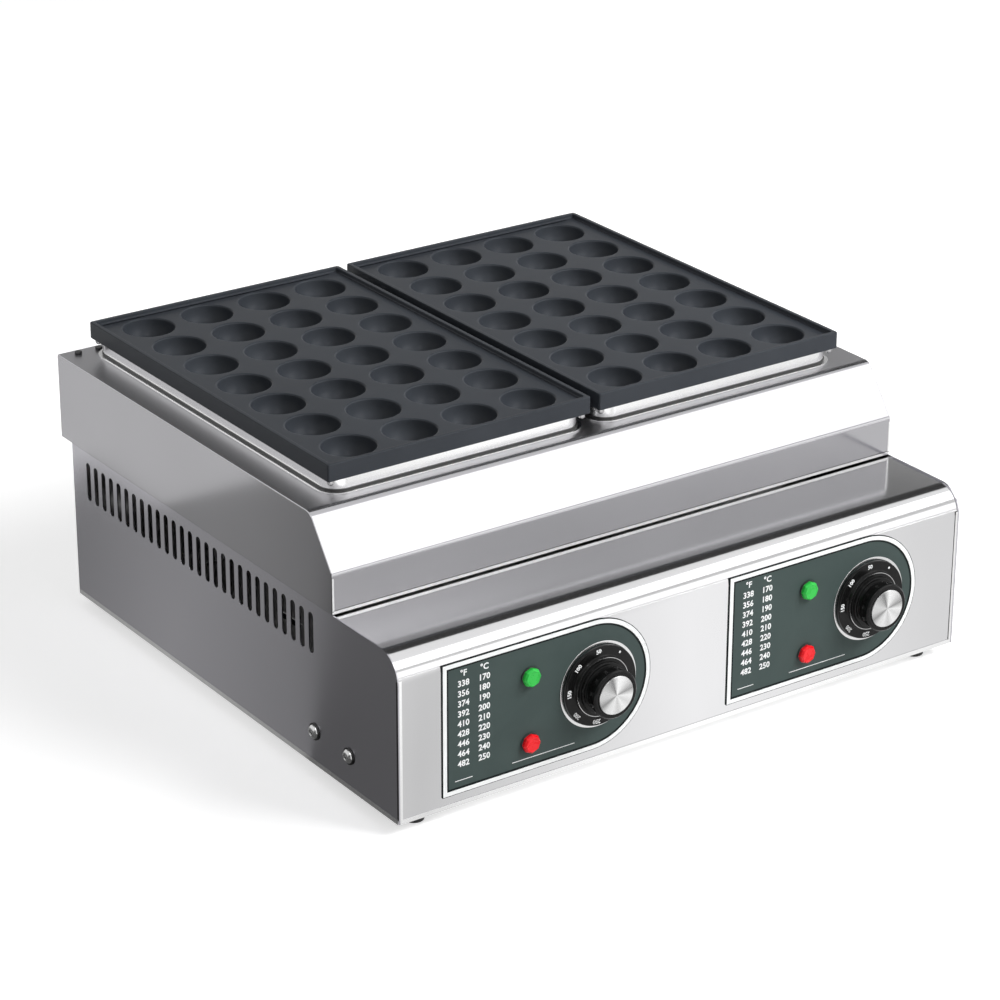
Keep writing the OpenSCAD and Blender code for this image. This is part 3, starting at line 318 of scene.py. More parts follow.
ALONG_X = (4, 1100, 1100)
ALONG_Y = (1100, 4, 1100)
FINISHES = {
    "casing_steel": satin_steel("casing_satin", 0.72, 0.01, 0.11, 0.14, ALONG_X),
    "side_steel": satin_steel("side_satin", 0.59, 0.05, 0.17, 0.20, ALONG_Y),
    "hood_steel": satin_steel("hood_satin", 0.50, 0.03, 0.12, 0.15, ALONG_X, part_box("hood")[1].z - MM),
    "galvanised_steel": bright_metal("galvanised", grey(0.38), grey(0.52), 0.38, 0.52),
    "tray_steel": bright_metal("polished_tray", grey(0.90), grey(0.95), 0.17, 0.24),
    "cast_plate": cast_coating(),
    "stud_steel": bright_metal("turned_stud", grey(0.50), grey(0.60), 0.22, 0.32),
    "element_sheath": bright_metal("oxidised_tube", (0.10, 0.09, 0.10), (0.20, 0.17, 0.16), 0.40, 0.58),
    "shield_steel": bright_metal("mill_finish", grey(0.48), grey(0.58), 0.30, 0.42),
    "porcelain": moulding("porcelain", (0.70, 0.68, 0.62), (0.80, 0.78, 0.73), 0.16, 0.26),
    "mineral_wool": moulding("mineral_wool", (0.42, 0.36, 0.22), (0.60, 0.54, 0.38), 0.85, 0.95, 600.0, 0.9),
    "plated_steel": bright_metal("zinc_plate", grey(0.56), grey(0.68), 0.20, 0.32),
    "screw_steel": bright_metal("blackened_steel", grey(0.05), grey(0.09), 0.32, 0.45),
    "cream_plastic": moulding("cream_resin", (0.62, 0.58, 0.46), (0.70, 0.66, 0.54), 0.42, 0.55),
    "copper": bright_metal("copper_tube", (0.62, 0.30, 0.19), (0.74, 0.40, 0.27), 0.24, 0.38),
    "knob_black": gloss_black(),
    "cap_aluminium": spun_aluminium("left"),
    "right_cap_aluminium": spun_aluminium("right"),
    "panel_silver": printed_film("printed_white", (0.78, 0.79, 0.79), (0.84, 0.85, 0.85), 0.32, 0.42),
    "ring_metal": bright_metal("bright_ring", grey(0.70), grey(0.78), 0.18, 0.26),
    "panel_green_grey": printed_film("slate_film", (0.043, 0.062, 0.059), (0.050, 0.071, 0.067), 0.42, 0.52),
    "outline_ink": printed_film("outline_ink", (0.003, 0.006, 0.006), (0.005, 0.009, 0.009), 0.40, 0.50),
    "lamp_green": lamp_lens("green_lens", (0.022, 0.40, 0.050), (0.03, 0.46, 0.065), (0.02, 0.8, 0.06)),
    "lamp_red": lamp_lens("red_lens", (0.68, 0.006, 0.010), (0.76, 0.009, 0.015), (1.0, 0.01, 0.015)),
    "lamp_body": moulding("nylon_body", grey(0.66), grey(0.74), 0.40, 0.52),
    "wire_silicone": moulding("silicone_wire", (0.36, 0.03, 0.025), (0.46, 0.045, 0.035), 0.42, 0.55),
    "gland_plastic": moulding("black_nylon", grey(0.018), grey(0.028), 0.40, 0.52),
    "brass": bright_metal("turned_brass", (0.58, 0.40, 0.15), (0.70, 0.50, 0.21), 0.22, 0.36),
    "foot_rubber": moulding("black_rubber", grey(0.014), grey(0.022), 0.60, 0.75),
}

for part in frame["record"]["subparts"]:
    slots = frame["nodes"][part["node"]].data.materials
    slots.clear()
    slots.append(FINISHES[part["material_slot"]])


# ---- making pieces ----

SHARP = math.radians(30)
FLAT = math.radians(1)


def placed(name, data):
    """A new object with that data, in the scene."""
    made = bpy.data.objects.new(name, data)
    bpy.context.scene.collection.objects.link(made)
    return made


def piece(name, shape, body, slot, replaced=(), finish=None):
    """Turns a shape in casing millimetres into a piece with its finish, riding on a body."""
    bmesh.ops.transform(shape, matrix=PLACE, verts=shape.verts)
    mesh = bpy.data.meshes.new(name)
    shape.to_mesh(mesh)
    shape.free()
    if "custom_normal" in mesh.attributes:
        mesh.attributes.remove(mesh.attributes["custom_normal"])
    mesh.shade_smooth()
    mesh.set_sharp_from_angle(angle=SHARP)
    mesh.materials.clear()
    mesh.materials.append(FINISHES[finish or slot])
    made = placed(name, mesh)
    flatten = made.modifiers.new("flat_faces", "WEIGHTED_NORMAL")
    flatten.mode = "FACE_AREA"
    flatten.weight = 50
    flatten.keep_sharp = True
    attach(made, body)
    if replaced:
        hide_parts(*replaced)


def cad_copy(node):
    """A merged copy of a CAD node's mesh, in casing millimetres, with its flat faces joined."""
    shape = bmesh.new()
    shape.from_mesh(frame["nodes"][node].data)
    bmesh.ops.transform(shape, matrix=PLACE.inverted(), verts=shape.verts)
    bmesh.ops.remove_doubles(shape, verts=shape.verts, dist=0.002)
    bmesh.ops.dissolve_limit(shape, angle_limit=FLAT, verts=shape.verts, edges=shape.edges)
    return shape


def sharp_edges(shape):
    return [edge for edge in shape.edges if len(edge.link_faces) == 2 and edge.calc_face_angle(0) > SHARP]


def soften(shape, width, segments=2, edges=None):
    """Rounds the shape's sharp edges, or the given ones, as a press or a deburring tool leaves them."""
    bmesh.ops.bevel(shape, geom=sharp_edges(shape) if edges is None else edges, offset=width,
                    offset_type="OFFSET", segments=segments, profile=0.5, affect="EDGES", clamp_overlap=True,
                    material=-1)
    return shape


def rounded(corners, steps=4):
    """Points along a line of corners (radius, height, rounding), each corner rounded by an arc."""
    points = []
    for index, (across, along, rounding) in enumerate(corners):
        corner = Vector((across, along))
        if rounding == 0 or index in (0, len(corners) - 1):
            points.append(corner)
            continue
        towards = (Vector(corners[index - 1][:2]) - corner).normalized()
        onwards = (Vector(corners[index + 1][:2]) - corner).normalized()
        half = towards.angle(onwards) / 2
        reach = rounding / math.tan(half)
        middle = corner + (towards + onwards).normalized() * rounding / math.sin(half)
        first = corner + towards * reach - middle
        last = corner + onwards * reach - middle
        for step in range(steps + 1):
            share = step / steps
            spoke = first.normalized().slerp(last.normalized(), share)
            points.append(middle + spoke * rounding)
    return points


AXES = {"X": Vector((1, 0, 0)), "Y": Vector((0, 1, 0)), "Z": Vector((0, 0, 1))}


def turned(shape, points, centre, along="Y", steps=96):
    """Spins a profile of (radius, height) points round an axis through centre; height is along the axis."""
    axis = AXES[along]
    spoke = AXES["Y" if along == "X" else "X"]
    fixed = Vector(centre)
    made = [shape.verts.new(fixed + spoke * point[0] + axis * point[1]) for point in points]
    edges = [shape.edges.new(pair) for pair in zip(made, made[1:])]
    bmesh.ops.spin(shape, geom=made + edges, cent=fixed, axis=axis, dvec=(0, 0, 0), angle=TAU, steps=steps,
                   use_merge=True, use_normal_flip=False, use_duplicate=False)


def closed(shape):
    """Merges poles and seams, and turns every face outwards."""
    bmesh.ops.remove_doubles(shape, verts=shape.verts, dist=0.0005)
    bmesh.ops.dissolve_degenerate(shape, dist=0.0001, edges=shape.edges)
    bmesh.ops.recalc_face_normals(shape, faces=shape.faces)
    return shape


def turned_piece(name, corners, centre, body, slot, replaced=(), finish=None, along="Y", steps=96):
    shape = bmesh.new()
    turned(shape, rounded(corners), centre, along, steps)
    piece(name, closed(shape), body, slot, replaced, finish)


def drawn_out(shape, faces, run):
    """Extrudes faces along a vector."""
    made = bmesh.ops.extrude_face_region(shape, geom=faces)["geom"]
    verts = [item for item in made if isinstance(item, bmesh.types.BMVert)]
    bmesh.ops.translate(shape, verts=verts, vec=run)


def framed(shape, width, run):
    """Keeps only a frame of that width along the edge of a flat face, and draws it out along a vector."""
    face = shape.faces[:]
    bmesh.ops.inset_region(shape, faces=face, thickness=width, use_even_offset=True, use_boundary=True)
    bmesh.ops.delete(shape, geom=face, context="FACES_ONLY")
    bmesh.ops.dissolve_limit(shape, angle_limit=FLAT / 10, verts=shape.verts, edges=shape.edges)
    drawn_out(shape, shape.faces[:], run)
    return closed(shape)


# ---- sheet metal: the CAD shells with their edges deburred ----

SHEET_EDGE = 0.28
TRAY_EDGE = 0.3
TRAY_LIP = 1.1
TRAY_SHEET = 1
LAP = 0.2
FOLD = 0.9
BEND = 2.0
BEND_LENGTH = 200
BEND_ANGLE = math.radians(45)


def folds(shape, low, high):
    """The sharp outer edges where a shell's sides meet its top and its front."""
    return [edge for edge in sharp_edges(shape)
            if all(min(abs(vert.co.x - low.x), abs(vert.co.x - high.x)) < 0.01 for vert in edge.verts)
            and max(vert.co.z for vert in edge.verts) > low.z + 1]


def bends(shape):
    """The long edges where a shell's apron turns into its slant."""
    level = [edge for edge in sharp_edges(shape) if abs(edge.verts[0].co.z - edge.verts[1].co.z) < 0.01
             and abs(edge.verts[0].co.y - edge.verts[1].co.y) < 0.01 and edge.calc_length() > BEND_LENGTH]
    return [edge for edge in level if edge.calc_face_angle() < BEND_ANGLE]


def sheet_metal():
    """The panels, the hood and the trays, with their folds and edges rounded."""
    for name, finish in (("left_side_panel", "side_steel"), ("right_side_panel", "side_steel"),
                         ("front_panel", "casing_steel"), ("back_panel", "casing_steel"),
                         ("hood", "hood_steel"), ("base_plate", "galvanised_steel")):
        slot = finish.replace("side_", "casing_")
        shape = cad_copy(name)
        if name == "hood":
            soften(shape, BEND, 5, bends(shape))
            soften(shape, FOLD, 3, folds(shape, *casing_box(name)))
        piece(name + "_sheet", soften(shape, SHEET_EDGE), "casing", slot, [name], finish)
    for side in SIDES:
        node = side + "_tray"
        shape = cad_copy(node)
        top = casing_box(node)[1].z
        lip = [edge for edge in sharp_edges(shape) if min(v.co.z for v in edge.verts) > top - 0.01]
        soften(shape, TRAY_LIP, 4, lip)
        piece(node + "_pressing", soften(shape, TRAY_EDGE), "casing", "tray_steel", [node])


COLLAR_INSET = 3.5
COLLAR_CORNER = 14
SHADOW_LINE_WIDTH = 0.7
SHADOW_LINE_HEIGHT = 1.5


def tray_seam(side):
    """A dark bead round the foot of a tray's collar: painted shadow and painted dark reflection where the
    collar meets the hood.
    """
    low, high = casing_box(side + "_tray")
    size = high - low - Vector((2, 2, 0)) * (COLLAR_INSET - SHADOW_LINE_WIDTH)
    foot = casing_box("hood")[1].z
    shape = bmesh.new()
    bmesh.ops.create_grid(shape, x_segments=1, y_segments=1, size=0.5,
                          matrix=Matrix.Translation(((low.x + high.x) / 2, (low.y + high.y) / 2, foot))
                          @ Matrix.Diagonal((size.x, size.y, 1, 1)))
    bmesh.ops.bevel(shape, geom=shape.verts[:], offset=COLLAR_CORNER + SHADOW_LINE_WIDTH, offset_type="OFFSET",
                    segments=10, profile=0.5, affect="VERTICES", clamp_overlap=True, material=-1)
    # The bead is painted shadow, made in dark plastic.
    bead = framed(shape, SHADOW_LINE_WIDTH + LAP, (0, 0, TRAY_SHEET + SHADOW_LINE_HEIGHT))
    piece(side + "_tray_seam", bead, "casing", "gland_plastic")


SIDE_FACE = casing_box("right_side_panel")[1].x
HEM_WIDTH = 3.0
HEM_RISE = 0.5
HEM_SETBACK = 1
FRONT_BEND = 104


def wedge(shape, corners, run):
    """A slim wedge with a triangle as its end, drawn out along a vector."""
    made = [shape.verts.new(corner) for corner in corners]
    drawn_out(shape, bmesh.ops.contextual_create(shape, geom=made)["faces"], run)


def hems():
    """The casing's hems: down the front's two ends, and along the foot of the front and the sides. They take
    the brighter polished tray steel as a painted highlight.
    """
    low, high = casing_box("left_side_panel", "right_side_panel")
    face = casing_box("front_panel")[0].y
    shape = bmesh.new()
    for out in (-1, 1):
        edge = out * SIDE_FACE
        inner = edge - out * HEM_WIDTH
        wedge(shape, [(edge, face, 0), (inner, face - HEM_RISE, 0), (inner, face, 0)], (0, 0, FRONT_BEND))
        near = low.y + HEM_SETBACK
        wedge(shape, [(edge, near, 0), (edge + out * HEM_RISE, near, 0), (edge, near, HEM_WIDTH)],
              (0, high.y - low.y - 2 * HEM_SETBACK, 0))
    across = 2 * (SIDE_FACE - HEM_WIDTH)
    start = HEM_WIDTH - SIDE_FACE
    wedge(shape, [(start, face, 0), (start, face - HEM_RISE, 0), (start, face, HEM_WIDTH)], (across, 0, 0))
    piece("casing_hems", closed(shape), "casing", "casing_steel", (), "tray_steel")


APRON_FACE = 78
APRON_BEND = 29
HOOD_GAP = 3
HOOD_HEM = 1.7
HOOD_HEM_DROP = 1.7
HOOD_HEM_RISE = 0.4
HOOD_HEM_STAND = 0.15
HOOD_HEM_SETBACK = 0.35
HOOD_HEM_BACK = 0.5
END_INSET = 0.3
SEAM_DEPTH = 0.12
SEAM_BAND = 1.7


def block(shape, low, high):
    """A box from one corner to the other."""
    size = Vector(high) - Vector(low)
    place = Matrix.Translation((Vector(low) + Vector(high)) / 2) @ Matrix.Diagonal((*size, 1))
    bmesh.ops.create_cube(shape, size=1, matrix=place)


def hood_hem():
    """The hood's hem: folded under its apron and up the apron's two ends, in the brighter polished tray
    steel as a painted highlight.
    """
    low, high = casing_box("hood")
    foot = casing_box("front_panel")[1].z
    bend = foot + APRON_BEND - BEND
    front = APRON_FACE - HOOD_HEM_STAND
    shape = bmesh.new()
    block(shape, (low.x + END_INSET, front, foot + HOOD_GAP - HOOD_HEM_DROP),
          (high.x - END_INSET, APRON_FACE + HOOD_HEM_BACK, foot + HOOD_GAP + HOOD_HEM_RISE))
    for out, edge in ((1, low.x), (-1, high.x)):
        near, far = sorted((edge + out * HOOD_HEM_SETBACK, edge + out * HOOD_HEM))
        block(shape, (near, front, foot + HOOD_GAP), (far, APRON_FACE + LAP, bend))
    piece("hood_hem", closed(shape), "casing", "hood_steel", (), "tray_steel")


def side_seams():
    """The dark seams where the front panel is let in between the side panels."""
    start = casing_box("left_side_panel", "right_side_panel")[0].y + END_INSET
    shape = bmesh.new()
    for out in (-1, 1):
        faces = sorted((out * (SIDE_FACE - LAP), out * (SIDE_FACE + SEAM_DEPTH)))
        block(shape, (faces[0], start, HEM_WIDTH), (faces[1], start + SEAM_BAND, FRONT_BEND))
    piece("side_seams", closed(shape), "casing", "casing_steel", (), "screw_steel")


sheet_metal()
hems()
hood_hem()
side_seams()
for side in SIDES:
    tray_seam(side)


# ---- cup plates ----

CUP_SIDES = 48
CUP_COLUMNS = 4
CUP_ROWS = 7
CUP_PITCH = Vector((49, 45, 0))
CUP_RADIUS = 19
CUP_WALL = 2.5
WEB = 4
RIM = 3.5
RIM_HEIGHT = 3
PLATE_HEIGHT = 12.5
MOUTH_ROUNDING = 1.3
PLATE_CORNER = 1.3


def loop_edges(verts):
    """Edges with both ends among the given vertices."""
    inside = set(verts)
    return list({edge for vert in verts for edge in vert.link_edges if edge.other_vert(vert) in inside})


def cup_ring(shape, radius, height):
    """A circle of vertices round a cup's axis."""
    made = bmesh.ops.create_circle(shape, cap_ends=False, segments=CUP_SIDES, radius=radius,
                                   matrix=Matrix.Translation((0, 0, height)))
    return made["verts"]


def cell_outline(shape, height):
    """A loop of the same count as a cup's ring, drawn out to the edge of the cup's cell."""
    verts = cup_ring(shape, 1, height)
    for vert in verts:
        reach = max(abs(vert.co.x), abs(vert.co.y))
        vert.co.x *= CUP_PITCH.x / 2 / reach
        vert.co.y *= CUP_PITCH.y / 2 / reach
    return verts


def cup_profile(top):
    """Rings of the hollow, from the cooking face over the mouth's rounding down to the pole."""
    rings = []
    for step in range(5):
        turn = math.pi / 2 * step / 4
        rings.append((CUP_RADIUS + MOUTH_ROUNDING * (1 - math.sin(turn)),
                      top - MOUTH_ROUNDING * (1 - math.cos(turn))))
    lip = math.asin(MOUTH_ROUNDING / CUP_RADIUS)
    for step in range(1, 13):
        turn = lip + (math.pi / 2 - lip) * step / 12
        rings.append((max(CUP_RADIUS * math.cos(turn), 0.001), top - CUP_RADIUS * math.sin(turn)))
    return rings


def bump_profile(top):
    """Rings of the bulge below the web, from its root down to the pole."""
    radius = CUP_RADIUS + CUP_WALL
    root = math.asin(WEB / radius)
    rings = [(radius * math.cos(root) + 0.7, top - WEB)]
    for step in range(11):
        turn = root + 0.03 + (math.pi / 2 - root - 0.03) * step / 10
        rings.append((max(radius * math.cos(turn), 0.001), top - radius * math.sin(turn)))
    return rings


def bridged(shape, loops):
    """Faces between each loop and the next."""
    for outer, inner in zip(loops, loops[1:]):
        bmesh.ops.bridge_loops(shape, edges=loop_edges(outer) + loop_edges(inner))


def cup_plate(side):
    """A casting with its cups hollowed above and bulging below, and a raised rim round its edge."""
    node = side + "_plate"
    low, high = casing_box(node)
    middle = (low + high) / 2
    half = (high - low) / 2
    cook = high.z - RIM_HEIGHT
    shape = bmesh.new()
    for profile, level in ((cup_profile(cook), cook), (bump_profile(cook), cook - WEB)):
        rings = [cell_outline(shape, level)] + [cup_ring(shape, *ring) for ring in profile]
        bridged(shape, rings)
        bmesh.ops.remove_doubles(shape, verts=rings[-1], dist=0.01)
    first = list(shape.verts) + list(shape.edges) + list(shape.faces)
    start = Vector((-(CUP_COLUMNS - 1) / 2 * CUP_PITCH.x, -(CUP_ROWS - 1) / 2 * CUP_PITCH.y, 0))
    for column in range(CUP_COLUMNS):
        for row in range(CUP_ROWS):
            if column or row:
                copied = bmesh.ops.duplicate(shape, geom=first)["geom"]
                verts = [item for item in copied if isinstance(item, bmesh.types.BMVert)]
                bmesh.ops.translate(shape, verts=verts, vec=(column * CUP_PITCH.x, row * CUP_PITCH.y, 0))
    bmesh.ops.translate(shape, verts=shape.verts, vec=start)
    bmesh.ops.remove_doubles(shape, verts=shape.verts, dist=0.01)
    border = [edge for edge in shape.edges if edge.is_boundary]
    above = [edge for edge in border if edge.verts[0].co.z > cook - WEB / 2]
    base = high.z - PLATE_HEIGHT
    web = cook - WEB
    section = rounded([
        (RIM + 3, cook, 0), (RIM, cook, 1.0), (RIM - 0.2, high.z, 0.6), (0, high.z, 0.6), (0, base, 0.5),
        (RIM, base, 0.5), (RIM + 0.2, web, 0.8), (RIM + 3, web, 0)], 3)
    grid = Vector((CUP_COLUMNS * CUP_PITCH.x / 2, CUP_ROWS * CUP_PITCH.y / 2))
    targets = [(Vector((half.x - inset, half.y - inset)), height) for inset, height in section]
    targets.append((grid, web))
    size = grid
    edges = above
    chain = []
    corners = []
    for target, height in targets:
        extruded = bmesh.ops.extrude_edge_only(shape, edges=edges)["geom"]
        verts = [item for item in extruded if isinstance(item, bmesh.types.BMVert)]
        edges = [item for item in extruded if isinstance(item, bmesh.types.BMEdge)
                 and item.verts[0] in set(verts) and item.verts[1] in set(verts)]
        for vert in verts:
            vert.co.x *= target.x / size.x
            vert.co.y *= target.y / size.y
            vert.co.z = height
        size = target
        corners.append({vert for vert in verts if abs(abs(vert.co.x) - size.x) < 0.01
                        and abs(abs(vert.co.y) - size.y) < 0.01})
    corners.pop()
    for one, other in zip(corners, corners[1:]):
        chain += [edge for vert in one for edge in vert.link_edges if edge.other_vert(vert) in other]
    bmesh.ops.remove_doubles(shape, verts=shape.verts, dist=0.01)
    soften(shape, PLATE_CORNER, 4, chain)
    bmesh.ops.translate(shape, verts=shape.verts, vec=(middle.x, middle.y, 0))
    piece(node + "_casting", closed(shape), side + "_cup_plate", "cast_plate", [node])


for side in SIDES:
    cup_plate(side)


# ---- control panels ----

BORDER = 3.5
EDGE_LINE = 0.5
INNER_LINE = 1.3
PRINT_THICKNESS = 0.04
PANEL_STEPS = 64


def panel_frame(side, inset, width, front, back):
    """A frame with the panel's outline stepped in by inset: square on the left, round on the right."""
    low, high = casing_box(side + "_panel_border")
    radius = (high.z - low.z) / 2
    turn = Vector((high.x - radius, front, (low.z + high.z) / 2))
    shape = bmesh.new()
    top = shape.verts.new(turn + Vector((0, 0, radius - inset)))
    bmesh.ops.spin(shape, geom=[top], cent=turn, axis=AXES["Y"], dvec=(0, 0, 0), angle=math.pi,
                   steps=PANEL_STEPS)
    for height in (inset - radius, radius - inset):
        shape.verts.new((low.x + inset, front, turn.z + height))
    shape.verts.ensure_lookup_table()
    bottom = min(shape.verts[:-2], key=lambda vert: vert.co.z)
    for pair in ((bottom, shape.verts[-2]), (shape.verts[-2], shape.verts[-1]), (shape.verts[-1], top)):
        shape.edges.new(pair)
    bmesh.ops.contextual_create(shape, geom=shape.edges[:])
    return framed(shape, width, (0, back - front, 0))


def panel_film(side):
    """The panel's border with its dark edge and white band, and its field with a dark line round it."""
    border, field = side + "_panel_border", side + "_panel_field"
    low, high = casing_box(border)
    field_low = casing_box(field)[0]
    frame_shape = soften(panel_frame(side, 0, BORDER, low.y, high.y), 0.2)
    piece(border + "_edge", frame_shape, "casing", "panel_silver", [border], "outline_ink")
    piece(border + "_band", panel_frame(side, EDGE_LINE, BORDER - EDGE_LINE, low.y - PRINT_THICKNESS, low.y),
          "casing", "panel_silver")
    piece(field + "_film", soften(cad_copy(field), 0.12), "casing", "panel_green_grey", [field])
    piece(field + "_line", panel_frame(side, BORDER + 0.15, INNER_LINE, field_low.y - PRINT_THICKNESS,
                                       field_low.y), "casing", "panel_green_grey", (), "outline_ink")


LENS_FACETS = 8


def lens(node, slot):
    """A lamp's faceted lens with a flat face, in a dark ring."""
    low, high = casing_box(node)
    centre = ((low.x + high.x) / 2, 0, (low.z + high.z) / 2)
    radius = (high.x - low.x) / 2
    front, back = low.y, high.y
    corners = [(0, front + 0.2, 0), (radius - 2.5, front + 0.2, 0.2), (radius - 2.3, front, 0.1),
               (radius - 1.7, front, 0.3), (radius - 0.4, front + 1.4, 0.5), (radius - 0.4, back - 0.9, 0.1),
               (radius, back - 0.8, 0.2), (radius, back, 0), (0, back, 0)]
    turned_piece(node + "_lens", corners, centre, "casing", slot, [node], steps=LENS_FACETS)
    # A dark ring round the foot of the lens.
    ring = [(radius - 0.9, back, 0), (radius - 0.9, back - 1.0, 0.1), (radius, back - 1.0, 0.3),
            (radius, back, 0), (radius - 0.9, back, 0)]
    turned_piece(node + "_dark_ring", ring, centre, "casing", slot, (), "gland_plastic", steps=48)


RING_WIDTH = 2.1
# A bright metal ring on the step round the barrel: a painted highlight.
BARREL_PAINTED_GLINT = (21.05, 21.35)
BARREL_LINE_BACK = 4.7
BARREL_LINE_FRONT = 4.88


def knob(side):
    """The knob's moulding, a bright metal ring round its barrel as a painted highlight, its spun cap and the
    ring that it turns in.
    """
    body = side + "_control"
    cap_low, cap_high = casing_box(side + "_knob_cap")
    low, high = casing_box(side + "_knob")
    x = (low.x + high.x) / 2
    z = (low.z + high.z) / 2
    skirt = (high.x - low.x) / 2
    cap = (cap_high.x - cap_low.x) / 2
    back = high.y
    face = low.y
    corners = [
        (3.05, back - 12, 0), (3.05, back, 0.3), (skirt, back, 0.3), (skirt, back - 2.5, 0.5),
        (22.6, back - 2.7, 0.2), (22.0, back - 3.4, 0.4), (21.6, back - 4.6, 0.6), (18.9, back - 4.8, 0.3),
        (18.4, back - 7.2, 0.7), (16.6, back - 7.5, 0.4), (16.1, back - 9.4, 0.3), (16.4, back - 12.4, 0.3),
        (17.5, back - 12.9, 0.6), (17.75, face + 1.2, 0.9), (16.6, face, 0.9), (cap + 0.9, face, 0.4),
        (cap + 0.15, face + 0.5, 0.2), (cap + 0.15, face + 0.9, 0), (0, face + 0.9, 0)]
    shape = bmesh.new()
    turned(shape, rounded(corners), (x, 0, z), steps=128)
    piece(side + "_knob_moulding", closed(shape), body, "knob_black", [side + "_knob"])
    near, far = BARREL_PAINTED_GLINT
    start = back - BARREL_LINE_BACK
    end = back - BARREL_LINE_FRONT
    line = [(near, start, 0), (near, end, 0), (far, end, 0), (far, start, 0), (near, start, 0)]
    turned_piece(side + "_knob_painted_glint", line, (x, 0, z), body, "knob_black", (), "ring_metal", steps=128)
    front = cap_low.y
    rim = cap - 0.1
    corners = [(0, front, 0), (rim - 0.3, front, 0), (rim, front + 0.3, 0), (rim, cap_high.y, 0),
               (0, cap_high.y, 0)]
    turned_piece(side + "_knob_disc", corners, (x, 0, z), body, "cap_aluminium", [side + "_knob_cap"],
                 "right_cap_aluminium" if side == "right" else "cap_aluminium", steps=128)
    ring_low, ring_high = casing_box(side + "_dial_ring")
    outer = (ring_high.x - ring_low.x) / 2
    inner = outer - RING_WIDTH
    corners = [(inner, ring_high.y, 0), (inner, ring_low.y, 0.22), (outer, ring_low.y, 0.22),
               (outer, ring_high.y, 0), (inner, ring_high.y, 0)]
    turned_piece(side + "_dial_ring_trim", corners, (x, 0, z), "casing", "panel_silver",
                 [side + "_dial_ring"], "ring_metal", steps=128)


# ---- printed marks ----

BOLDNESS = 0.16


def letters(text, size):
    """A word as a thin raised print in millimetres, upright round the origin and read from the front."""
    words = bpy.data.curves.new("print", "FONT")
    words.body = text
    words.size = size
    words.align_x = "CENTER"
    words.align_y = "CENTER"
    words.resolution_u = 2
    words.offset = BOLDNESS
    words.extrude = PRINT_THICKNESS / 2
    holder = placed("print", words)
    bpy.context.view_layer.update()
    mesh = bpy.data.meshes.new_from_object(holder.evaluated_get(bpy.context.evaluated_depsgraph_get()))
    bpy.data.objects.remove(holder)
    bpy.data.curves.remove(words)
    mesh.transform(Matrix.Rotation(math.pi / 2, 4, "X"))
    return mesh


def stamp(shape, mesh, place):
    """Adds a copy of a mesh to the shape, at a place."""
    mesh.transform(place)
    shape.from_mesh(mesh)
    bpy.data.meshes.remove(mesh)


SCALE_TOP = 96.5
SCALE_BOTTOM = 30.4
SCALE_ROWS = 10
CELSIUS_COLUMN = 33.4
FAHRENHEIT_COLUMN = 16.9
COLDEST = 170
STEP = 10
NUMBER_SIZE = 6.2
RULES = ((10, 24), (56, 107))
RULE_LOW = 18.3
RULE_HIGH = 18.8


def panel_print(side):
    """Two columns of temperatures under their units, and the two rules below them."""
    low = casing_box(side + "_panel_border")[0]
    face = casing_box(side + "_panel_field")[0].y
    ink_y = face - PRINT_THICKNESS / 2
    shape = bmesh.new()
    drop = (SCALE_TOP - SCALE_BOTTOM) / (SCALE_ROWS - 1)
    for row in range(SCALE_ROWS):
        height = SCALE_TOP - drop * row
        celsius = COLDEST + STEP * (row - 1)
        left, right = str(round(celsius * 9 / 5 + 32)), str(celsius)
        if row == 0:
            left, right = "\u00b0F", "\u00b0C"
        for word, across in ((left, FAHRENHEIT_COLUMN), (right, CELSIUS_COLUMN)):
            stamp(shape, letters(word, NUMBER_SIZE), Matrix.Translation((low.x + across, ink_y, height)))
    for start, end in RULES:
        block(shape, (low.x + start, face - PRINT_THICKNESS, RULE_LOW), (low.x + end, face, RULE_HIGH))
    piece(side + "_panel_print", shape, "casing", "panel_silver")


SKIRT_NUMBERS = (50, 100, 150, 200, 250, 300)
SKIRT_START = math.radians(95)
SKIRT_STEP = math.radians(42)
SKIRT_MARK = math.radians(54)
SKIRT_NUMBER_RADIUS = 26
SKIRT_ARC_RADIUS = 22.9
SKIRT_FACE = 2.6
SKIRT_NUMBER_SIZE = 4.2
TICK_WIDTH = 0.45
TICK_LENGTH = 1.3
DOT_RADIUS = 0.9


def knob_print(side):
    """Numbers round the skirt, read outwards, with a tick at each and a dot at the index."""
    low, high = casing_box(side + "_knob")
    centre = Vector(((low.x + high.x) / 2, high.y - SKIRT_FACE - PRINT_THICKNESS / 2, (low.z + high.z) / 2))
    shape = bmesh.new()
    for index, number in enumerate(SKIRT_NUMBERS):
        angle = SKIRT_START + SKIRT_STEP * index
        spoke = Matrix.Translation(centre) @ Matrix.Rotation(math.pi / 2 - angle, 4, "Y")
        stamp(shape, letters(str(number), SKIRT_NUMBER_SIZE),
              spoke @ Matrix.Translation((0, 0, SKIRT_NUMBER_RADIUS)))
        bmesh.ops.create_cube(shape, size=1, matrix=spoke @ Matrix.Translation((0, 0, SKIRT_ARC_RADIUS))
                              @ Matrix.Diagonal((TICK_WIDTH, PRINT_THICKNESS, TICK_LENGTH, 1)))
    spoke = Matrix.Translation(centre) @ Matrix.Rotation(math.pi / 2 - SKIRT_MARK, 4, "Y")
    dot = spoke @ Matrix.Translation((0, 0, SKIRT_NUMBER_RADIUS)) @ Matrix.Rotation(math.pi / 2, 4, "X")
    bmesh.ops.create_cone(shape, cap_ends=True, segments=20, radius1=DOT_RADIUS, radius2=DOT_RADIUS,
                          depth=PRINT_THICKNESS, matrix=dot)
    piece(side + "_knob_print", shape, side + "_control", "panel_silver")


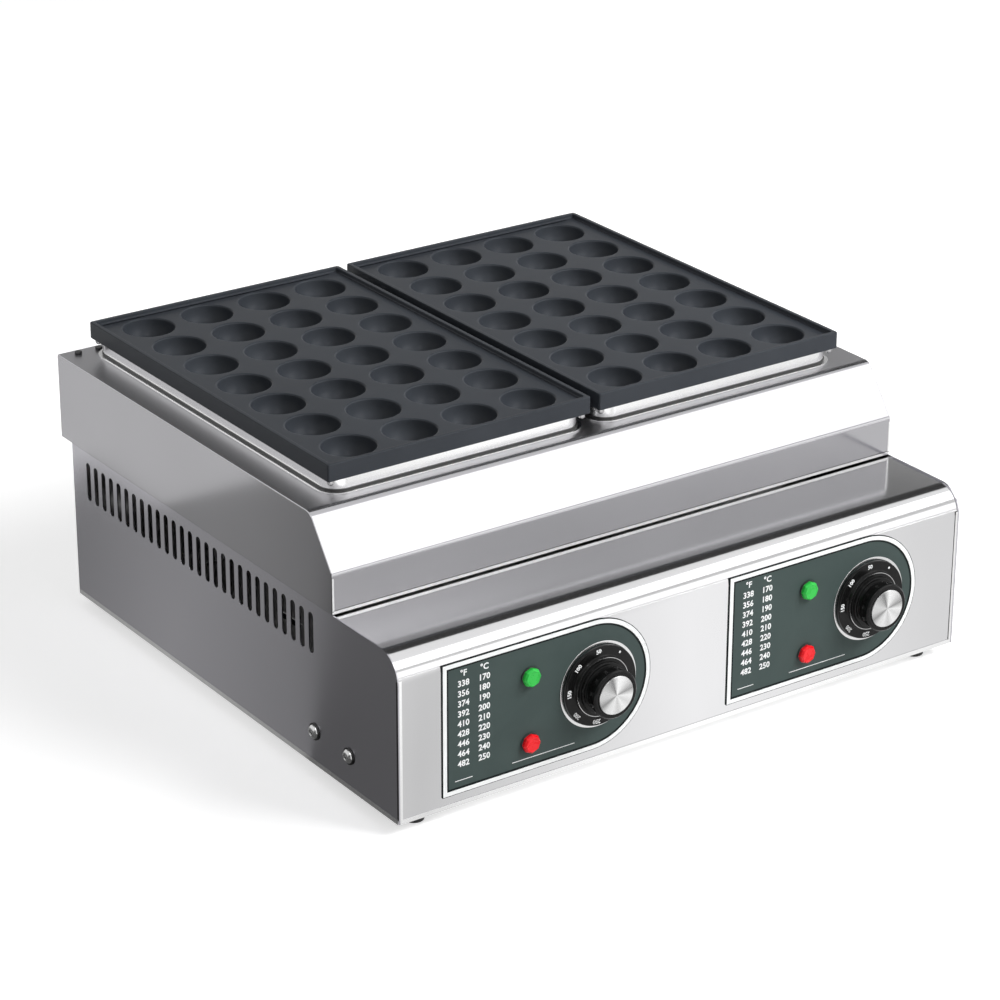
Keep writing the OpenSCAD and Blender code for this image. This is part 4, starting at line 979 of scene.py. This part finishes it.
for side in SIDES:
    panel_film(side)
    panel_print(side)
    knob(side)
    knob_print(side)
    lens(side + "_power_lamp", "lamp_green")
    lens(side + "_heat_lamp", "lamp_red")


# ---- fasteners, feet and what comes through the back ----

HEAD_RADIUS = 5
WASHER_WIDTH = 1.2
WASHER_THICKNESS = 0.9
SOCKET_RADIUS = 1.7


def side_screws():
    """Domed heads with a socket, on dark washers: two on each side."""
    low, high = casing_box("side_screws")
    wide = HEAD_RADIUS + WASHER_WIDTH
    top = high.x - SIDE_FACE
    dome = [(0, 1.3, 0), (SOCKET_RADIUS, 1.3, 0), (SOCKET_RADIUS, top - 0.3, 0.1), (2.3, top, 0.3),
            (3.6, top - 0.4, 1.2), (4.8, top - 1.7, 0.8), (HEAD_RADIUS, 1.1, 0.1),
            (HEAD_RADIUS, WASHER_THICKNESS, 0), (0, WASHER_THICKNESS, 0)]
    ring = [(2.6, 0.1, 0), (wide, 0.1, 0.15), (wide, WASHER_THICKNESS - 0.05, 0.2),
            (2.6, WASHER_THICKNESS - 0.05, 0), (2.6, 0.1, 0)]
    for name, corners, finish, replaced in (("side_screw_heads", dome, "plated_steel", ["side_screws"]),
                                            ("side_screw_washers", ring, "screw_steel", ())):
        shape = bmesh.new()
        for out in (-1, 1):
            for along in (low.y + wide, high.y - wide):
                points = [Vector((point.x, out * point.y)) for point in rounded(corners)]
                turned(shape, points, (out * SIDE_FACE, along, (low.z + high.z) / 2), "X", 48)
        piece(name, closed(shape), "casing", "plated_steel", replaced, finish)


def feet():
    """Rubber feet that taper to the ground, with a bead round the top and a well for the screw's head."""
    for node in ("front_left_foot", "front_right_foot", "back_left_foot", "back_right_foot"):
        low, high = casing_box(node)
        radius = (high.x - low.x) / 2
        centre = ((low.x + high.x) / 2, (low.y + high.y) / 2, 0)
        corners = [(2.6, high.z, 0), (radius, high.z, 0.3), (radius, high.z - 2.2, 0.4),
                   (radius - 0.7, high.z - 2.6, 0.3), (radius - 1.6, low.z, 0.9), (radius - 3.1, low.z, 0.3),
                   (4.9, low.z + 0.7, 0.3), (4.6, low.z + 5.9, 0.3), (2.6, low.z + 6.0, 0), (2.6, high.z, 0)]
        turned_piece(node + "_moulding", corners, centre, "casing", "foot_rubber", [node], None, "Z", 64)


def back_fittings():
    """The gland, the earth stud and the small screws, with the broken edges of turned and moulded pieces."""
    for node, slot, width in (("cable_gland", "gland_plastic", 0.5), ("earth_stud", "brass", 0.25),
                              ("casing_screws", "screw_steel", 0.3)):
        piece(node + "_turned", soften(cad_copy(node), width, 3), "casing", slot, [node])


side_screws()
feet()
back_fittings()


# ---- stage: floor, lights, camera ----

CAMERA_PLACE = Vector((-1.3057, -1.85385, 1.0954))
CAMERA_TURN = math.radians(-34.95)
CAMERA_DROP = math.radians(23.62)
CAMERA_ROLL = math.radians(0.15)
CAMERA_LENS = 122.72
FLOOR_SIZE = 14
FLOOR_LIFT = 0.55
FLOOR_LIFT_IN_METAL = 0.20
SHADE_WIDTH = 0.42
SHADE_DEPTH = 0.37
SHADE_LIFT = 0.0006
MIDDLE = Vector((0, 0, 0.1))


def card(name, width, height, material):
    """A flat sheet round the origin, facing up."""
    shape = bmesh.new()
    bmesh.ops.create_grid(shape, x_segments=1, y_segments=1, size=0.5,
                          matrix=Matrix.Diagonal((width, height, 1, 1)))
    mesh = bpy.data.meshes.new(name)
    shape.to_mesh(mesh)
    shape.free()
    mesh.materials.append(material)
    made = placed(name, mesh)
    return made


def facing(towards, distance, axis="Z"):
    """Where something stands in a direction from the middle, with that axis pointing back at it."""
    direction = Vector(towards).normalized()
    turn = (-direction if axis == "Z" else direction).to_track_quat("Z", "Y")
    return Matrix.Translation(MIDDLE + direction * distance) @ turn.to_matrix().to_4x4()


def ground_shade():
    """A dark card laid under the casing as painted shade, which shows through the slots of its side and
    base.
    """
    finish = Finish("ground_shade", Base_Color=(0.02, 0.02, 0.02, 1), Roughness=0.9, Specular_IOR_Level=0.0)
    made = card("ground_shade", SHADE_WIDTH, SHADE_DEPTH, finish.material)
    made.matrix_world = Matrix.Translation((0, 0, SHADE_LIFT))


def pale_floor():
    """Diffuse floor, lifted to white for what the camera and the metal see."""
    finish = Finish("pale_floor", Base_Color=(0.80, 0.80, 0.80, 1), Roughness=0.9, Specular_IOR_Level=0.2,
                    Emission_Color=(1, 1, 1, 1))
    rays = add(finish.tree, "ShaderNodeLightPath")
    seen = add(finish.tree, "ShaderNodeMath", operation="MULTIPLY")
    mirrored = add(finish.tree, "ShaderNodeMath", operation="MULTIPLY_ADD")
    seen.inputs[1].default_value = FLOOR_LIFT
    mirrored.inputs[1].default_value = FLOOR_LIFT_IN_METAL
    finish.link(rays.outputs["Is Camera Ray"], seen.inputs[0])
    finish.link(rays.outputs["Is Glossy Ray"], mirrored.inputs[0])
    finish.link(seen.outputs["Value"], mirrored.inputs[2])
    finish.link(mirrored.outputs["Value"], finish.shader.inputs["Emission Strength"])
    card("floor", FLOOR_SIZE, FLOOR_SIZE, finish.material)


def grey_card(name, place, width, height, *tones):
    """A studio card that only polished surfaces see; its tone runs along its own Y."""
    finish = Finish(name, Base_Color=(0, 0, 0, 1), Roughness=1.0, Specular_IOR_Level=0.0,
                    Emission_Strength=1.0)
    along = add(finish.tree, "ShaderNodeSeparateXYZ")
    finish.read_place(along)
    ramp = add(finish.tree, "ShaderNodeValToRGB")
    tone_ramp(ramp.color_ramp, tones)
    spread = add(finish.tree, "ShaderNodeMapRange", {"From Min": -height / 2, "From Max": height / 2})
    finish.link(along.outputs["Y"], spread.inputs["Value"])
    finish.link(spread.outputs["Result"], ramp.inputs["Fac"])
    finish.link(ramp.outputs["Color"], finish.shader.inputs["Emission Color"])
    flag = card(name, width, height, finish.material)
    flag.matrix_world = place
    flag.visible_camera = False
    flag.visible_diffuse = False
    flag.visible_shadow = False
    flag.visible_transmission = False


def softbox(name, towards, distance, width, height, watts):
    """An area lamp that polished surfaces don't mirror."""
    lamp = bpy.data.lights.new(name, "AREA")
    lamp.shape = "RECTANGLE"
    lamp.size = width
    lamp.size_y = height
    lamp.energy = watts
    made = placed(name, lamp)
    made.matrix_world = facing(towards, distance, "-Z")
    made.visible_glossy = False


def studio_world(fill):
    """A white surround for what the camera and the metal see, and a weaker fill for everything else."""
    world = bpy.data.worlds.new("studio")
    world.use_nodes = True
    bpy.context.scene.world = world
    tree = world.node_tree
    surround = tree.nodes["Background"]
    surround.inputs["Color"].default_value = (1, 1, 1, 1)
    rays = add(tree, "ShaderNodeLightPath")
    first = add(tree, "ShaderNodeMath", operation="MAXIMUM")
    seen = add(tree, "ShaderNodeMath", operation="MAXIMUM")
    level = add(tree, "ShaderNodeMapRange", {"To Min": fill, "To Max": 1.0})
    tree.links.new(rays.outputs["Is Camera Ray"], first.inputs[0])
    tree.links.new(rays.outputs["Is Glossy Ray"], first.inputs[1])
    tree.links.new(first.outputs["Value"], seen.inputs[0])
    tree.links.new(rays.outputs["Is Transmission Ray"], seen.inputs[1])
    tree.links.new(seen.outputs["Value"], level.inputs["Value"])
    tree.links.new(level.outputs["Result"], surround.inputs["Strength"])


def camera():
    """The camera, fitted to the photo."""
    made = placed("camera", bpy.data.cameras.new("camera"))
    made.data.lens = CAMERA_LENS
    made.data.sensor_width = 36
    made.matrix_world = (Matrix.Translation(CAMERA_PLACE) @ Matrix.Rotation(CAMERA_TURN, 4, "Z")
                         @ Matrix.Rotation(math.pi / 2 - CAMERA_DROP, 4, "X")
                         @ Matrix.Rotation(CAMERA_ROLL, 4, "Z"))
    bpy.context.scene.camera = made


def lying(left, front, right, back, height=0.001):
    """Place, width and depth of a level card between those edges, in metres."""
    middle = Vector(((left + right) / 2, (front + back) / 2, height))
    return Matrix.Translation(middle), right - left, back - front


MIRRORED = Vector((-0.572, 0.820, 0))
ACROSS = Vector((0.820, 0.572, 0))
CORNER = Vector((-0.24, -0.105, 0))


def slanting(left, front, right, back, height):
    """As lying, but in axes turned with the mirrored sight line from the casing's front corner.

    Front to back runs across that line, and left to right runs against it."""
    middle = CORNER + ACROSS * (front + back) / 2 - MIRRORED * (left + right) / 2 + Vector((0, 0, height))
    turn = math.atan2(ACROSS.y, ACROSS.x) - math.pi / 2
    return Matrix.Translation(middle) @ Matrix.Rotation(turn, 4, "Z"), right - left, back - front


def floor_cards():
    """Cards on the floor that the upright faces mirror."""
    grey_card("middle_card", *slanting(-1.0, 0, 0.06, 0.22, 0.0010), 0.26, 0.36, 0.23)
    grey_card("corner_card", *slanting(-1.2, -1.1, 0.08, 0, 0.0015), 0.13, 0.13)
    grey_card("rear_card", *lying(-1.5, 0.34, -0.375, 1.6, 0.0020), 0.76, 0.63)
    grey_card("front_card", *slanting(0.085, -0.43, 1.4, 0.71, 0.0012), 1.5, 1.4, 0.74, 1.2, 0.9, 0.9, 0.9)


def flags_and_cards():
    """What the polished faces mirror besides the floor."""
    floor_cards()
    grey_card("overhead_flag", *lying(-0.7, 0.15, 2.6, 3.75, 1.5), 0.05, 0.05, 0.12, 0.30, 0.30)
    grey_card("gap_card", facing((0.525, -0.751, 0.42), 3.9), 3.8, 1.2, 0.70, 0.70)
    grey_card("glint_card", facing((-0.30, -0.50, 0.81), 2.5), 0.5, 0.5, 9, 9)
    grey_card("key_card", facing((0.525, -0.616, 0.70), 2.3), 2.1, 0.95, 2.3, 2.3)
    grey_card("horizon_card", facing((0.525, -0.85, 0.18), 3.4), 3.4, 1.2, 1.5, 1.5)
    grey_card("camera_flag", facing((-0.90, -0.57, 0.20), 3.2), 1.6, 1.4, 0.06, 0.06)


bpy.context.scene.view_settings.view_transform = "Standard"
pale_floor()
ground_shade()
studio_world(fill=0.34)
softbox("key_softbox", (0.525, -0.56, 0.66), distance=2.4, width=1.7, height=0.95, watts=70)
softbox("fill_softbox", (-0.7, -0.5, 0.5), distance=3.0, width=1.6, height=1.6, watts=3)
flags_and_cards()
camera()
